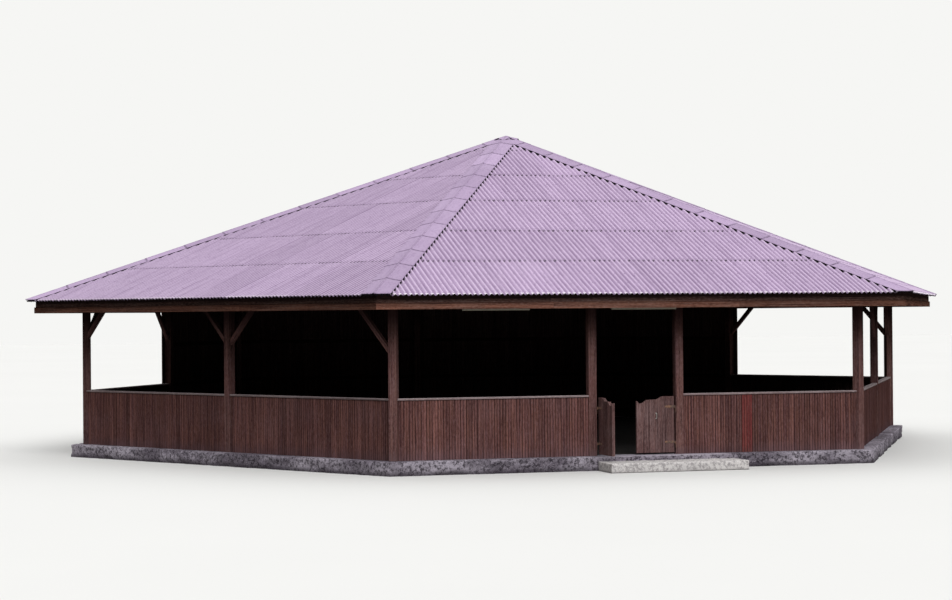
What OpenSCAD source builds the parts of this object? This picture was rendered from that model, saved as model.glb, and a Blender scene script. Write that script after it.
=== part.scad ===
// Six-sided timber bandstand: boarded parapets round an open floor, a doorway with two low
// gates in front, solid boarded walls at the back and a shallow roof of corrugated sheets.
// Millimetres, +Z up. The origin is on the ground under the peak, the front wall faces -Y.

/* [Plan] */
// Length of each of the six walls, corner to corner at the outer face
wall_side = 8960; // [6000:10:11000]

/* [Plinth] */
// Height of the concrete plinth above the ground
plinth_h = 250; // [150:10:600]
// How far the plinth stands out from the wall face
plinth_out = 225; // [60:5:400]
// Width of the plinth's edge beam, measured inward from its outer face
edge_beam_w = 480; // [420:10:900]

/* [Entrance step] */
// Width of the step along the wall
step_w = 2600; // [1800:50:4000]
// Shift of the step's middle along the front wall
step_shift = 525; // [-800:25:800]
// Depth of the step out from the plinth
step_d = 720; // [300:10:740]
// Height of the step above the ground
step_h = 170; // [80:10:240]

/* [Posts] */
// Side of the square posts
post_w = 150; // [120:5:200]

/* [Fits] */
// Gap between pieces that meet on a slant
fit_gap = 0.3; // [0.2:0.1:0.6]

/* [Doorway] */
// Clear width between the door posts
door_clear = 1510; // [1300:10:1900]
// Shift of the doorway's middle along the front wall
door_shift = 45; // [-300:5:300]

/* [Boarding] */
// Thickness of the wall boards
board_t = 25; // [18:1:40]
// Set back of the boards from the wall face
board_recess = 30; // [24:1:45]
// Depth of the nailing rails behind the boards
girt_d = 50; // [30:1:60]
// Height of the nailing rails
girt_h = 80; // [50:5:120]
// Height of the parapet's top above the floor
parapet_h = 1090; // [800:10:1300]
// Thickness of the parapet's top rail
rail_t = 35; // [25:1:60]
// Overhang of the top rail in front of the boards
rail_over = 20; // [5:1:24]
// Overhang of the top rail behind the nailing rail
rail_back = 10; // [5:1:40]
// Height of the lowest nailing rail above the floor
girt_low = 120; // [60:10:300]
// Number of nailing rails on a full-height wall
tall_girts = 4; // [3:1:6]
// How far the boards over the far middle posts run past them
cover_out = 100; // [40:5:200]

/* [Ring beam] */
// Width of the ring beam
beam_w = 150; // [120:5:200]
// Height of the ring beam
beam_h = 200; // [150:5:260]
// Horizontal and vertical reach of a knee brace
brace_reach = 850; // [600:10:1000]
// Reach of the short knee brace at the left corner
brace_short = 700; // [400:10:1000]
// Reach of the long knee brace at the left end of the front wall
brace_long = 1000; // [600:10:1200]
// Side of a square knee brace
brace_w = 80; // [60:5:100]

/* [Roof form] */
// Pitch of the six roof faces in degrees
roof_pitch = 21.42; // [18:0.01:26]
// Height of the sheets' lower edge above the floor
eave_h = 2905; // [2750:5:3200]
// Distance from the wall face out to the sheets' lower edge
eave_out = 976; // [850:2:1100]

/* [Roof frame] */
// Depth of the rafters
rafter_h = 150; // [120:5:180]
// Width of the rafters
rafter_w = 50; // [38:1:75]
// Spacing of the rafters
rafter_gap = 900; // [700:10:1200]
// Depth of the hip rafters
hip_h = 180; // [150:5:220]
// Width of the hip rafters
hip_w = 70; // [50:1:100]
// Depth of the seat cut where the rafters cross the ring beam
seat_cut = 40; // [20:1:60]
// Depth of the battens
batten_h = 50; // [30:1:60]
// Width of the battens
batten_w = 50; // [38:1:75]
// Spacing of the battens up the slope
batten_gap = 460; // [350:10:600]
// Distance from a face to the middle of the hexagonal king block
king_a = 130; // [100:5:200]
// Height of the king block
king_h = 420; // [300:10:600]

/* [Roof covering] */
// Distance between the crests of the sheets' waves
wave_pitch = 95; // [70:1:180]
// Height of the sheets' waves
wave_h = 36; // [25:1:50]
// Thickness of the sheets
sheet_t = 5; // [3:1:8]
// Width of each wing of the hip caps
cap_w = 260; // [180:5:350]
// Thickness of the hip caps
cap_t = 5; // [3:1:8]
// Overhang of the hip caps past the sheets' lower edge
cap_nose = 12; // [5:1:30]
// Distance from the peak to the flat sides of the peak cap
peak_cap_a = 200; // [120:10:500]

/* [Fascia] */
// Distance from the sheets' lower edge back to the fascia
fascia_back = 140; // [100:5:200]
// Thickness of the fascia boards
fascia_t = 25; // [18:1:35]
// Height of the fascia boards
fascia_h = 120; // [90:5:180]
// Distance from the sheets' lower edge down to the fascia's top
fascia_drop = 140; // [60:5:160]
// Thickness of the eave boards behind the fascia
eave_board_t = 30; // [20:1:40]
// Height of the eave boards below the sheets' lower edge
eave_board_drop = 205; // [170:5:240]

/* [Strip lights] */
// Length of a strip light
light_l = 1210; // [600:10:1500]
// Depth of a strip light, front to back
light_d = 60; // [40:1:80]
// Height of a strip light
light_h = 70; // [50:1:80]
// How far a strip light hangs below the fascia
light_below = 30; // [10:1:40]
// Middle of the left strip light along the front
light_left_x = -2815; // [-4000:5:-1000]
// Middle of the right strip light along the front
light_right_x = -95; // [-250:5:4000]

/* [Gates] */
// Width of each gate leaf
leaf_w = 725; // [600:5:900]
// Gap under the gates
leaf_low = 30; // [20:5:120]
// Height of the gates' hinge side above the floor
leaf_top = 1045; // [900:5:1300]
// Thickness of the gates' boards
leaf_t = 25; // [18:1:35]
// Thickness of the ledges behind the gates' boards
ledge_t = 30; // [20:1:40]
// Height of the ledges
ledge_h = 90; // [60:5:120]
// Height of the lower ledge's middle above the floor
ledge_low_z = 220; // [150:5:300]
// Height of the upper ledge's middle above the floor
ledge_high_z = 790; // [600:5:900]
// Width of the straight top beside the hinge
crown_w = 210; // [150:5:300]
// Width of the double curve
curve_w = 144; // [60:2:160]
// Drop of the double curve
curve_drop = 55; // [30:1:100]
// Width of the shoulder
shoulder_w = 178; // [100:2:200]
// Drop along the shoulder
shoulder_drop = 5; // [0:1:40]
// Depth of the hollow beside the horn
hollow_drop = 66; // [40:1:120]
// Width of the horn, from the bottom of the hollow to the free edge
horn_w = 68; // [30:1:90]
// Height of the horn above the hollow
horn_h = 50; // [20:1:80]
// Width and depth of the cut corner at the horn's tip
horn_tip = 12; // [4:1:20]

/* [Gate hinges] */
// Radius of the hinge pins
pin_r = 7; // [5:0.5:10]
// Radial clearance between a pin and its eye
pin_gap = 0.3; // [0.2:0.05:0.6]
// Wall of the eye round the pin
eye_wall = 4; // [3:0.5:6]
// Distance from the door post to a pin's axis
pin_off = 17; // [16:0.5:24]
// Distance from a pin's axis to the leaf's edge
pin_edge = 5; // [3:0.5:10]
// Distance from the leaf's face out to a pin's axis
pin_proud = 12.5; // [12:0.5:16]
// Length of a strap on the leaf
strap_l = 190; // [120:5:400]
// Height of a strap and its eye
strap_h = 40; // [30:1:60]
// Thickness of a strap
strap_t = 5; // [3:0.5:8]
// Height of the lower hinge above the floor
hinge_low_z = 220; // [150:5:300]
// Height of the upper hinge above the floor
hinge_high_z = 860; // [700:5:950]
// Height of the lug under a pin
lug_h = 8; // [6:1:14]
// Height of the plate that carries a pin's lug
plate_h = 90; // [60:5:140]
// Width of that plate
plate_w = 45; // [30:1:60]
// Opening angle of the left gate as it stands
left_open = 90; // [0:1:110]
// Opening angle of the right gate as it stands
right_open = 0; // [0:1:110]

/* [Gate handle] */
// Height of the pull handle
handle_h = 105; // [80:5:160]
// Radius of the pull handle's bar
handle_r = 6; // [4:0.5:9]
// Distance of the handle from the leaf's hinge edge
handle_x = 350; // [200:5:600]
// Height of the handle's middle above the floor
handle_z = 694; // [500:2:850]
// Distance of the handle's bar from the boards
handle_out = 32; // [25:1:50]

/* [Hidden] */

$fn = 48;
SIDES = 6;
TURN = 360 / SIDES;
HALF = TURN / 2;

// Walls in order from the front one, counterclockwise from above
FRONT = 0;
RIGHT = 1;
FAR_RIGHT = 2;
BACK = 3;
FAR_LEFT = 4;
LEFT = 5;

// Gap between the mitred boards and beams of neighbouring walls
mitre_gap = 1;
floor_z = plinth_h;
a_wall = wall_side * cos(HALF);
a_plinth = a_wall + plinth_out;
a_eave = a_wall + eave_out;
slope = tan(roof_pitch);
hip_fall = atan(slope * cos(HALF));

// Vertical depths of the roof's layers below the plane of the sheets' crests
sheet_drop = (wave_h + sheet_t) / cos(roof_pitch);
batten_top_drop = sheet_drop + fit_gap;
batten_drop = batten_top_drop + batten_h / cos(roof_pitch);
rafter_top_drop = batten_drop + fit_gap;
rafter_drop = rafter_top_drop + rafter_h / cos(roof_pitch);
hip_top_drop = rafter_top_drop + hip_w / 2 * sin(HALF) * slope;
hip_drop = hip_top_drop + hip_h / cos(hip_fall);

// Height that the hip caps add to the peak
cap_rise = fit_gap + cap_t / cos(hip_fall);

// Height of the plane of the crests at a distance a out from the peak, square to the eave
function roof_z(a) = floor_z + eave_h + (a_eave - a) * slope;

beam_top = roof_z(a_wall) - rafter_drop + seat_cut;
beam_low = beam_top - beam_h;
post_h = beam_low - floor_z;
tall = roof_z(0) * 2;

a_fascia = a_eave - fascia_back;
a_eave_board = a_fascia - fascia_t;
a_tail = a_eave_board - eave_board_t;
fascia_top = floor_z + eave_h - fascia_drop;
fascia_low = fascia_top - fascia_h;

rail_low = parapet_h - rail_t;
frame_back = board_recess + board_t + girt_d;

door_left_x = door_shift - door_clear / 2;
door_right_x = door_shift + door_clear / 2;
pin_left_x = door_left_x + pin_off;
pin_right_x = door_right_x - pin_off;
pin_y = -(a_wall - board_recess + pin_proud);
eye_r = pin_r + pin_gap + eye_wall;

// Ends of a bay between two posts; an end at a corner post is left undef
MID_BAYS = [[undef, -post_w / 2], [post_w / 2, undef]];
DOOR_BAYS = [[undef, door_left_x - post_w], [door_right_x + post_w, undef]];

// Turns its children from the front wall to wall n
module on_wall(n) {
  rotate([0, 0, TURN * n]) children();
}

// Turns its children to the corner at the right end of wall n
module on_corner(n) {
  rotate([0, 0, TURN * n + HALF]) children();
}

// Distance along the wall to the side of a corner post, at depth d behind the wall face
function corner_x(d) = wall_side / 2 - (post_w / 2 + fit_gap + d * sin(HALF)) / cos(HALF);
function bay_left(bay, d) = is_undef(bay[0]) ? -corner_x(d) : bay[0];
function bay_right(bay, d) = is_undef(bay[1]) ? corner_x(d) : bay[1];

// Block that fills a bay from depth d0 to d1 and from height z0 to z1
module bay_block(bay, d0, d1, z0, z1) {
  translate([0, 0, z0])
    linear_extrude(height = z1 - z0)
      polygon([
        [bay_left(bay, d0), d0 - a_wall],
        [bay_right(bay, d0), d0 - a_wall],
        [bay_right(bay, d1), d1 - a_wall],
        [bay_left(bay, d1), d1 - a_wall]
      ]);
}

// Half length of a line square to the wall's axis at distance a, stopping g short of the hips
function mitre_x(a, g) = a * tan(HALF) - g / cos(HALF);

// Board or beam along one side, from distance a0 to a1, mitred at both corners
module side_block(a0, a1, z0, z1) {
  translate([0, 0, z0])
    linear_extrude(height = z1 - z0)
      polygon([
        [-mitre_x(a1, mitre_gap), -a1],
        [mitre_x(a1, mitre_gap), -a1],
        [mitre_x(a0, mitre_gap), -a0],
        [-mitre_x(a0, mitre_gap), -a0]
      ]);
}

// Upright prism over one roof face out to distance a, stopping g short of the hips
module face_prism(a, g) {
  linear_extrude(height = tall)
    polygon([[-mitre_x(a, g), -a], [mitre_x(a, g), -a], [0, -g / sin(HALF)]]);
}

// Slab parallel to the front roof face, between two depths below the crests
module roof_slab(a0, a1, top, low, w) {
  rotate([90, 0, 90])
    linear_extrude(height = w, center = true)
      polygon([
        [-a1, roof_z(a1) - low],
        [-a1, roof_z(a1) - top],
        [-a0, roof_z(a0) - top],
        [-a0, roof_z(a0) - low]
      ]);
}

module hexagon_block(a, z0, z1) {
  translate([0, 0, z0])
    linear_extrude(height = z1 - z0)
      circle(r = a / cos(HALF), $fn = SIDES);
}

module plinth() {
  color("rosybrown")
    difference() {
      hexagon_block(a_plinth, 0, floor_z);
      hexagon_block(a_plinth - edge_beam_w, -floor_z, 2 * floor_z);
    }
}

module floor_slab() {
  color("darkgray")
    hexagon_block(a_plinth - edge_beam_w, 0, floor_z);
}

module entrance_step() {
  color("lightgray")
    translate([step_shift - step_w / 2, -(a_plinth + step_d), 0])
      cube([step_w, step_d, step_h]);
}

module corner_post(n) {
  on_corner(n)
    translate([-post_w / 2, -wall_side, floor_z])
      cube([post_w, post_w, post_h]);
}

module corner_posts() {
  color("saddlebrown")
    for (n = [0 : SIDES - 1])
      corner_post(n);
}

module wall_post(x) {
  translate([x, -a_wall, floor_z])
    cube([post_w, post_w, post_h]);
}

module mid_posts() {
  color("saddlebrown")
    for (n = [RIGHT : LEFT])
      on_wall(n) wall_post(-post_w / 2);
}

module door_posts() {
  color("saddlebrown") {
    wall_post(door_left_x - post_w);
    wall_post(door_right_x);
  }
}

// Boards of one bay, from the floor to height z
module boarding(n, bay, z) {
  color("brown")
    on_wall(n)
      bay_block(bay, board_recess, board_recess + board_t, floor_z, z);
}

module parapet(n, bay) {
  boarding(n, bay, floor_z + rail_low);
}

// Bays that have a parapet, as wall and bay
PARAPETS = [
  [LEFT, MID_BAYS[0]], [LEFT, MID_BAYS[1]], [FRONT, DOOR_BAYS[0]], [FRONT, DOOR_BAYS[1]],
  [RIGHT, MID_BAYS[0]], [RIGHT, MID_BAYS[1]], [FAR_RIGHT, MID_BAYS[0]], [FAR_LEFT, MID_BAYS[1]]
];

// Bays that are boarded to the ring beam
TALL_BAYS = [
  [FAR_RIGHT, MID_BAYS[1]], [BACK, MID_BAYS[0]], [BACK, MID_BAYS[1]], [FAR_LEFT, MID_BAYS[0]]
];

// Board over the outer face of wall n's middle post, past the post on the side of its open bay:
// side is 1 for an open bay on the right and -1 for one on the left
module cover_board(n, side) {
  color("brown")
    on_wall(n)
      translate([side * cover_out / 2 - (post_w + cover_out) / 2, -a_wall - board_t, floor_z])
        cube([post_w + cover_out, board_t, post_h]);
}

module parapet_rails() {
  color("sienna")
    for (p = PARAPETS)
      on_wall(p[0])
        bay_block(p[1], board_recess - rail_over, frame_back + rail_back,
                  floor_z + rail_low, floor_z + parapet_h);
}

// Nailing rail behind the boards, with its lower edge at height z above the floor
module girt(p, z) {
  on_wall(p[0])
    bay_block(p[1], board_recess + board_t, frame_back, floor_z + z, floor_z + z + girt_h);
}

module parapet_girts() {
  color("sienna")
    for (p = PARAPETS) {
      girt(p, girt_low);
      girt(p, rail_low - girt_h);
    }
}

module back_wall_girts() {
  step = (post_h - girt_h - girt_low) / (tall_girts - 1);
  color("sienna")
    for (p = TALL_BAYS, i = [0 : tall_girts - 1])
      girt(p, girt_low + i * step);
}

module ring_beams() {
  color("sienna")
    for (n = [0 : SIDES - 1])
      on_wall(n) side_block(a_wall - beam_w, a_wall, beam_low, beam_top);
}

// Knee brace that rises from x towards dir, 1 to the right or -1 to the left
module brace(x, dir, reach) {
  foot = brace_w * sqrt(2);
  root = post_w / 2;
  translate([x, (brace_w + post_w) / 2 - a_wall, beam_low])
    rotate([90, 0, 0])
      linear_extrude(height = brace_w)
        polygon([
          [-dir * root, -reach - root],
          [dir * reach, 0],
          [dir * (reach - foot), 0],
          [-dir * root, foot - reach - root]
        ]);
}

// Knee braces: wall, place on it (-1 left end, 0 middle, 1 right end), direction and reach
BRACES = [
  [LEFT, -1, 1, brace_short], [LEFT, 0, -1, brace_reach],
  [LEFT, 0, 1, brace_reach], [LEFT, 1, -1, brace_long],
  [RIGHT, -1, 1, brace_reach], [RIGHT, 0, -1, brace_reach],
  [RIGHT, 0, 1, brace_reach], [RIGHT, 1, -1, brace_reach],
  [FAR_RIGHT, -1, 1, brace_reach], [FAR_RIGHT, 0, -1, brace_reach],
  [FAR_LEFT, 0, 1, brace_reach], [FAR_LEFT, 1, -1, brace_short]
];

module knee_braces() {
  color("saddlebrown")
    difference() {
      for (b = BRACES)
        on_wall(b[0])
          brace(b[1] == 0 ? b[2] * post_w / 2 : b[1] * corner_x(post_w / 2), b[2], b[3]);
      corner_posts();
      mid_posts();
    }
}

module ring_core() {
  difference() {
    hexagon_block(a_wall, beam_low, beam_top);
    hexagon_block(a_wall - beam_w, beam_low - beam_h, beam_top + beam_h);
  }
}

module king_core() {
  rotate([0, 0, HALF])
    hexagon_block(king_a, roof_z(king_a) - hip_top_drop - king_h, roof_z(king_a) - hip_top_drop);
}

module king_block() {
  color("peru") king_core();
}

module hip_rafter(n) {
  reach = a_tail / cos(HALF) - hip_w;
  on_corner(n)
    rotate([90, 0, 90])
      linear_extrude(height = hip_w, center = true)
        polygon([
          [-reach, roof_z(reach * cos(HALF)) - hip_drop],
          [-reach, roof_z(reach * cos(HALF)) - hip_top_drop],
          [-king_a, roof_z(king_a * cos(HALF)) - hip_top_drop],
          [-king_a, roof_z(king_a * cos(HALF)) - hip_drop]
        ]);
}

module hip_rafters() {
  color("peru")
    difference() {
      for (n = [0 : SIDES - 1])
        hip_rafter(n);
      ring_core();
    }
}

module jack_rafters() {
  count = floor((mitre_x(a_tail, hip_w / 2) - rafter_w) / rafter_gap);
  color("peru")
    difference() {
      for (n = [0 : SIDES - 1])
        on_wall(n)
          intersection() {
            for (i = [-count : count])
              translate([i * rafter_gap, 0, 0])
                roof_slab(0, a_tail, rafter_top_drop, rafter_drop, rafter_w);
            face_prism(a_tail, hip_w / 2 + fit_gap);
          }
      ring_core();
      king_core();
    }
}

module roof_battens() {
  run = batten_gap * cos(roof_pitch);
  half = batten_w * cos(roof_pitch) / 2;
  first = a_tail - batten_w;
  color("tan")
    for (n = [0 : SIDES - 1])
      on_wall(n)
        intersection() {
          for (a = [first : -run : run])
            roof_slab(a - half, a + half, batten_top_drop, batten_drop, 2 * a_eave);
          face_prism(a_eave, mitre_gap);
        }
}

// Section across the sheets of one roof face: waves over a flat underside, which keeps the
// facets few, with a crest on the face's middle line
module wave_section() {
  count = 2 * ceil(mitre_x(a_eave, 0) / wave_pitch);
  edge = count * wave_pitch / 2;
  polygon(concat(
    [for (i = [-count : count]) [i * wave_pitch / 2, i % 2 == 0 ? 0 : -wave_h]],
    [[edge, -wave_h - sheet_t], [-edge, -wave_h - sheet_t]]
  ));
}

// Corrugated sheets of one roof face, cut off upright at the eave and mitred at the hips
module roof_sheet(n) {
  color("thistle")
    on_wall(n)
      intersection() {
        translate([0, 0, roof_z(0)])
          rotate([90 + roof_pitch, 0, 0])
            linear_extrude(height = a_eave / cos(roof_pitch) + wave_h)
              wave_section();
        face_prism(a_eave, mitre_gap);
      }
}

// Folded cap over the hip at the right end of wall n, cut short of its neighbours at the peak
module hip_cap(n) {
  spread = sin(HALF) * slope * cos(hip_fall);
  run = a_eave / cos(HALF) / cos(hip_fall) + cap_w;
  on_corner(n)
    intersection() {
      translate([0, 0, roof_z(0) + fit_gap])
        rotate([90 + hip_fall, 0, 0])
          linear_extrude(height = run)
            polygon([
              [-cap_w, -cap_w * spread],
              [0, 0],
              [cap_w, -cap_w * spread],
              [cap_w, cap_t - cap_w * spread],
              [0, cap_t],
              [-cap_w, cap_t - cap_w * spread]
            ]);
      face_prism(2 * a_eave, mitre_gap);
      rotate([0, 0, HALF])
        hexagon_block(a_eave + cap_nose, 0, tall);
    }
}

module hip_caps() {
  color("plum")
    for (n = [0 : SIDES - 1])
      hip_cap(n);
}

// Six-sided cone with its peak at height z, out to flat sides at distance a
module peak_cone(z, a) {
  translate([0, 0, z - a * slope])
    cylinder(r1 = a / cos(HALF), r2 = 0, h = a * slope, $fn = SIDES);
}

module peak_cap() {
  color("plum")
    difference() {
      peak_cone(roof_z(0) + 2 * cap_rise, peak_cap_a);
      peak_cone(roof_z(0) + cap_rise + fit_gap, 2 * peak_cap_a);
    }
}

module fascia_boards() {
  color("saddlebrown")
    for (n = [0 : SIDES - 1])
      on_wall(n) side_block(a_fascia - fascia_t, a_fascia, fascia_low, fascia_top);
}

module eave_boards() {
  low = floor_z + eave_h - eave_board_drop;
  color("maroon")
    for (n = [0 : SIDES - 1])
      on_wall(n)
        side_block(a_tail, a_eave_board, low, roof_z(a_eave_board) - batten_top_drop);
}

module strip_lights() {
  color("whitesmoke")
    for (x = [light_left_x, light_right_x])
      translate([x - light_l / 2, -a_eave_board, fascia_low - light_below])
        cube([light_l, light_d, light_h]);
}

// Points of a falling double curve from (x, z), w wide and h high
CURVE_STEPS = 8;
function double_curve(x, z, w, h) =
  [for (i = [0 : CURVE_STEPS]) [x + w * i / CURVE_STEPS, z - h * (1 - cos(180 * i / CURVE_STEPS)) / 2]];

// Points of a hollow that falls from (x, z), w wide and h deep
function hollow(x, z, w, h) =
  [for (i = [1 : CURVE_STEPS]) [x + w * i / CURVE_STEPS, z - h * sin(90 * i / CURVE_STEPS)]];

// Points of a horn that rises from (x, z), w wide and h high
function horn(x, z, w, h) =
  [for (i = [1 : CURVE_STEPS]) [x + w * i / CURVE_STEPS, z + h * (1 - cos(90 * i / CURVE_STEPS))]];

hollow_x = crown_w + curve_w + shoulder_w;
hollow_z = leaf_top - curve_drop - shoulder_drop;
horn_x = leaf_w - horn_w;
horn_z = hollow_z - hollow_drop;

// Outline of a gate leaf from its hinge edge at x = 0
LEAF = concat(
  [[0, leaf_low], [0, leaf_top]],
  double_curve(crown_w, leaf_top, curve_w, curve_drop),
  [[hollow_x, hollow_z]],
  hollow(hollow_x, hollow_z, horn_x - hollow_x, hollow_drop),
  horn(horn_x, horn_z, horn_w - horn_tip, horn_h),
  [[leaf_w, horn_z + horn_h - horn_tip], [leaf_w, leaf_low]]
);

// Puts a leaf drawn from its hinge edge, with its face at y = 0, in its place:
// side is 1 for the left gate and -1 for the right one
module hang_leaf(side, open) {
  translate([side > 0 ? pin_left_x : pin_right_x, pin_y, floor_z])
    rotate([0, 0, -side * open])
      mirror([side > 0 ? 0 : 1, 0, 0])
        translate([pin_edge, pin_proud, 0])
          children();
}

module leaf_boards() {
  translate([0, leaf_t, 0])
    rotate([90, 0, 0])
      linear_extrude(height = leaf_t)
        polygon(LEAF);
}

module leaf_ledges() {
  inset = ledge_t;
  for (z = [ledge_low_z, ledge_high_z])
    translate([inset, leaf_t, z - ledge_h / 2])
      cube([leaf_w - 2 * inset, ledge_t, ledge_h]);
}

module leaf_straps() {
  for (z = [hinge_low_z, hinge_high_z])
    translate([0, 0, z - strap_h / 2])
      difference() {
        union() {
          translate([-pin_edge, -strap_t, 0])
            cube([strap_l, strap_t, strap_h]);
          translate([-pin_edge, -pin_proud, 0])
            cylinder(r = eye_r, h = strap_h);
        }
        translate([-pin_edge, -pin_proud, -strap_h / 2])
          cylinder(r = pin_r + pin_gap, h = 2 * strap_h);
      }
}

module leaf_handle() {
  translate([handle_x, 0, handle_z]) {
    for (z = [-1, 1])
      translate([0, 0, z * (handle_h / 2 - handle_r)])
        rotate([90, 0, 0])
          cylinder(r = handle_r, h = handle_out);
    translate([0, -handle_out, -handle_h / 2])
      cylinder(r = handle_r, h = handle_h);
  }
}

// Pin on its lug and plate at the left door post, with the pin's foot at height z
module pintle(z) {
  translate([0, 0, z - strap_h / 2 - fit_gap]) {
    translate([0, 0, -lug_h])
      cylinder(r = pin_r, h = strap_h + lug_h);
    translate([-pin_off, -pin_r, -lug_h])
      cube([pin_off, 2 * pin_r, lug_h]);
    translate([-pin_off, -pin_r, -plate_h])
      cube([strap_t, plate_w, plate_h]);
  }
}

module gate_pintles() {
  color("dimgray")
    for (side = [1, -1], z = [hinge_low_z, hinge_high_z])
      translate([side > 0 ? pin_left_x : pin_right_x, pin_y, floor_z])
        mirror([side > 0 ? 0 : 1, 0, 0])
          pintle(z);
}

plinth();
floor_slab();
entrance_step();
corner_posts();
mid_posts();
door_posts();
parapet(LEFT, MID_BAYS[0]);  // parapet_left_rear
parapet(LEFT, MID_BAYS[1]);  // parapet_left_front
parapet(FRONT, DOOR_BAYS[0]);  // parapet_front_left
parapet(FRONT, DOOR_BAYS[1]);  // parapet_front_right
parapet(RIGHT, MID_BAYS[0]);  // parapet_right_front
parapet(RIGHT, MID_BAYS[1]);  // parapet_right_rear
parapet(FAR_RIGHT, MID_BAYS[0]);  // parapet_far_right
parapet(FAR_LEFT, MID_BAYS[1]);  // parapet_far_left
parapet_rails();
parapet_girts();
union() {  // back_wall_right
  boarding(FAR_RIGHT, MID_BAYS[1], beam_low);
  cover_board(FAR_RIGHT, -1);
}
boarding(BACK, MID_BAYS[0], beam_low);  // back_wall_mid_right
boarding(BACK, MID_BAYS[1], beam_low);  // back_wall_mid_left
union() {  // back_wall_left
  boarding(FAR_LEFT, MID_BAYS[0], beam_low);
  cover_board(FAR_LEFT, 1);
}
back_wall_girts();
ring_beams();
knee_braces();
hip_rafters();
king_block();
jack_rafters();
roof_battens();
roof_sheet(FRONT);  // roof_front
roof_sheet(RIGHT);  // roof_right
roof_sheet(FAR_RIGHT);  // roof_far_right
roof_sheet(BACK);  // roof_back
roof_sheet(FAR_LEFT);  // roof_far_left
roof_sheet(LEFT);  // roof_left
hip_caps();
peak_cap();
fascia_boards();
eave_boards();
strip_lights();
color("brown") hang_leaf(1, left_open) leaf_boards();  // gate_left_boards
color("sienna") hang_leaf(1, left_open) leaf_ledges();  // gate_left_ledges
color("dimgray") hang_leaf(1, left_open) leaf_straps();  // gate_left_straps
color("brown") hang_leaf(-1, -right_open) leaf_boards();  // gate_right_boards
color("sienna") hang_leaf(-1, -right_open) leaf_ledges();  // gate_right_ledges
color("dimgray") hang_leaf(-1, -right_open) leaf_straps();  // gate_right_straps
color("silver") hang_leaf(-1, -right_open) leaf_handle();  // gate_handle
gate_pintles();
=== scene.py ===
"""Looks of the six-sided timber bandstand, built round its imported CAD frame.

Metres, +Z up, in the frame of the CAD model: the origin is on the ground under the peak and the
front wall faces -Y. Each sub-assembly is a class with its sizes as fields, each finish is a frozen
dataclass, and main() builds and dresses them in order.
"""

import logging
import math
from dataclasses import dataclass, field
from enum import Enum, IntEnum
from typing import Callable, Sequence

import bpy
import numpy as np
from mathutils import Matrix, Vector, noise


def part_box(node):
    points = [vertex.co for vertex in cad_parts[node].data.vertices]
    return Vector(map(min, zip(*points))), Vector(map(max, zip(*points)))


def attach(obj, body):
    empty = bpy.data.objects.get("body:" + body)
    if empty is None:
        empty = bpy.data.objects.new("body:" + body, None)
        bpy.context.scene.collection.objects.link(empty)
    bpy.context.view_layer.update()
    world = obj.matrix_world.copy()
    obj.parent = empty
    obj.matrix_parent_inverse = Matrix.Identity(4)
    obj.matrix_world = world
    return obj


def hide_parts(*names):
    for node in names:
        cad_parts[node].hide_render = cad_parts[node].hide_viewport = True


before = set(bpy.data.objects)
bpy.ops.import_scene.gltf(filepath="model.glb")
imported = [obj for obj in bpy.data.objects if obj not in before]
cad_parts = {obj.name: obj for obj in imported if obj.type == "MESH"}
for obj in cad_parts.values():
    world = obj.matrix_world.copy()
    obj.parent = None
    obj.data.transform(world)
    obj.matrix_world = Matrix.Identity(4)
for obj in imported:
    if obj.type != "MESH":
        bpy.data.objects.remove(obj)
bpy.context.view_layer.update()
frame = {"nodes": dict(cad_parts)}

LOG = logging.getLogger("bandstand")
ROOT = "root"
UP = np.array([0.0, 0.0, 1.0])
ALONG = np.array([1.0, 0.0, 0.0])
INWARD = np.array([0.0, 1.0, 0.0])
OUTWARD = np.array([0.0, -1.0, 0.0])
# Half of the angle that each of the six sides takes up.
HALF = math.radians(30)
COS_HALF, SIN_HALF, TAN_HALF = math.cos(HALF), math.sin(HALF), math.tan(HALF)
SHARP = math.radians(58)
Pair = tuple[float, float]
Tint = tuple[float, float, float]
# Left and right end along the wall, where None stands for the side of the corner post.
Bay = tuple[float | None, float | None]
Socket = bpy.types.NodeSocket
Material = bpy.types.Material
Finishes = Sequence[Material]
Array = np.ndarray
Numbers = Sequence[float]
Faces = list[tuple[int, ...]]


class Side(Enum):
    """The six walls, counterclockwise from the front one, seen from above."""

    FRONT = 0
    RIGHT = 1
    FAR_RIGHT = 2
    BACK = 3
    FAR_LEFT = 4
    LEFT = 5

    @property
    def turn(self) -> float:
        """Angle in degrees from the front wall to this one."""
        return 60.0 * self.value


def linear(tint: Tint) -> tuple[float, float, float, float]:
    """Turns a display colour of 0 to 255 into a linear one.

    Args:
        tint: Red, green and blue as they look on a screen.

    Returns:
        Linear red, green and blue, and a full alpha.
    """
    shares = [c / 255 for c in tint]
    return (*[c / 12.92 if c <= 0.04045 else ((c + 0.055) / 1.055) ** 2.4 for c in shares], 1.0)


def turned(points: Array, degrees: float) -> Array:
    """Turns points about the vertical axis through the origin.

    Args:
        points: Points, one a row.
        degrees: Angle, counterclockwise from above.

    Returns:
        The turned points.
    """
    c, s = math.cos(math.radians(degrees)), math.sin(math.radians(degrees))
    return points @ np.array([[c, s, 0], [-s, c, 0], [0, 0, 1]])


def inset(outline: Array, by: float) -> Array:
    """Moves each edge of a counterclockwise outline inward.

    Args:
        outline: Corner points in the plane, one a row.
        by: How far each edge moves.

    Returns:
        The corners of the smaller outline.
    """
    edge = np.roll(outline, -1, 0) - outline
    edge /= np.linalg.norm(edge, axis=1)[:, None]
    normal = np.stack([-edge[:, 1], edge[:, 0]], 1)
    before = np.roll(normal, 1, 0)
    return outline + by * (before + normal) / (1 + (before * normal).sum(1))[:, None]


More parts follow.
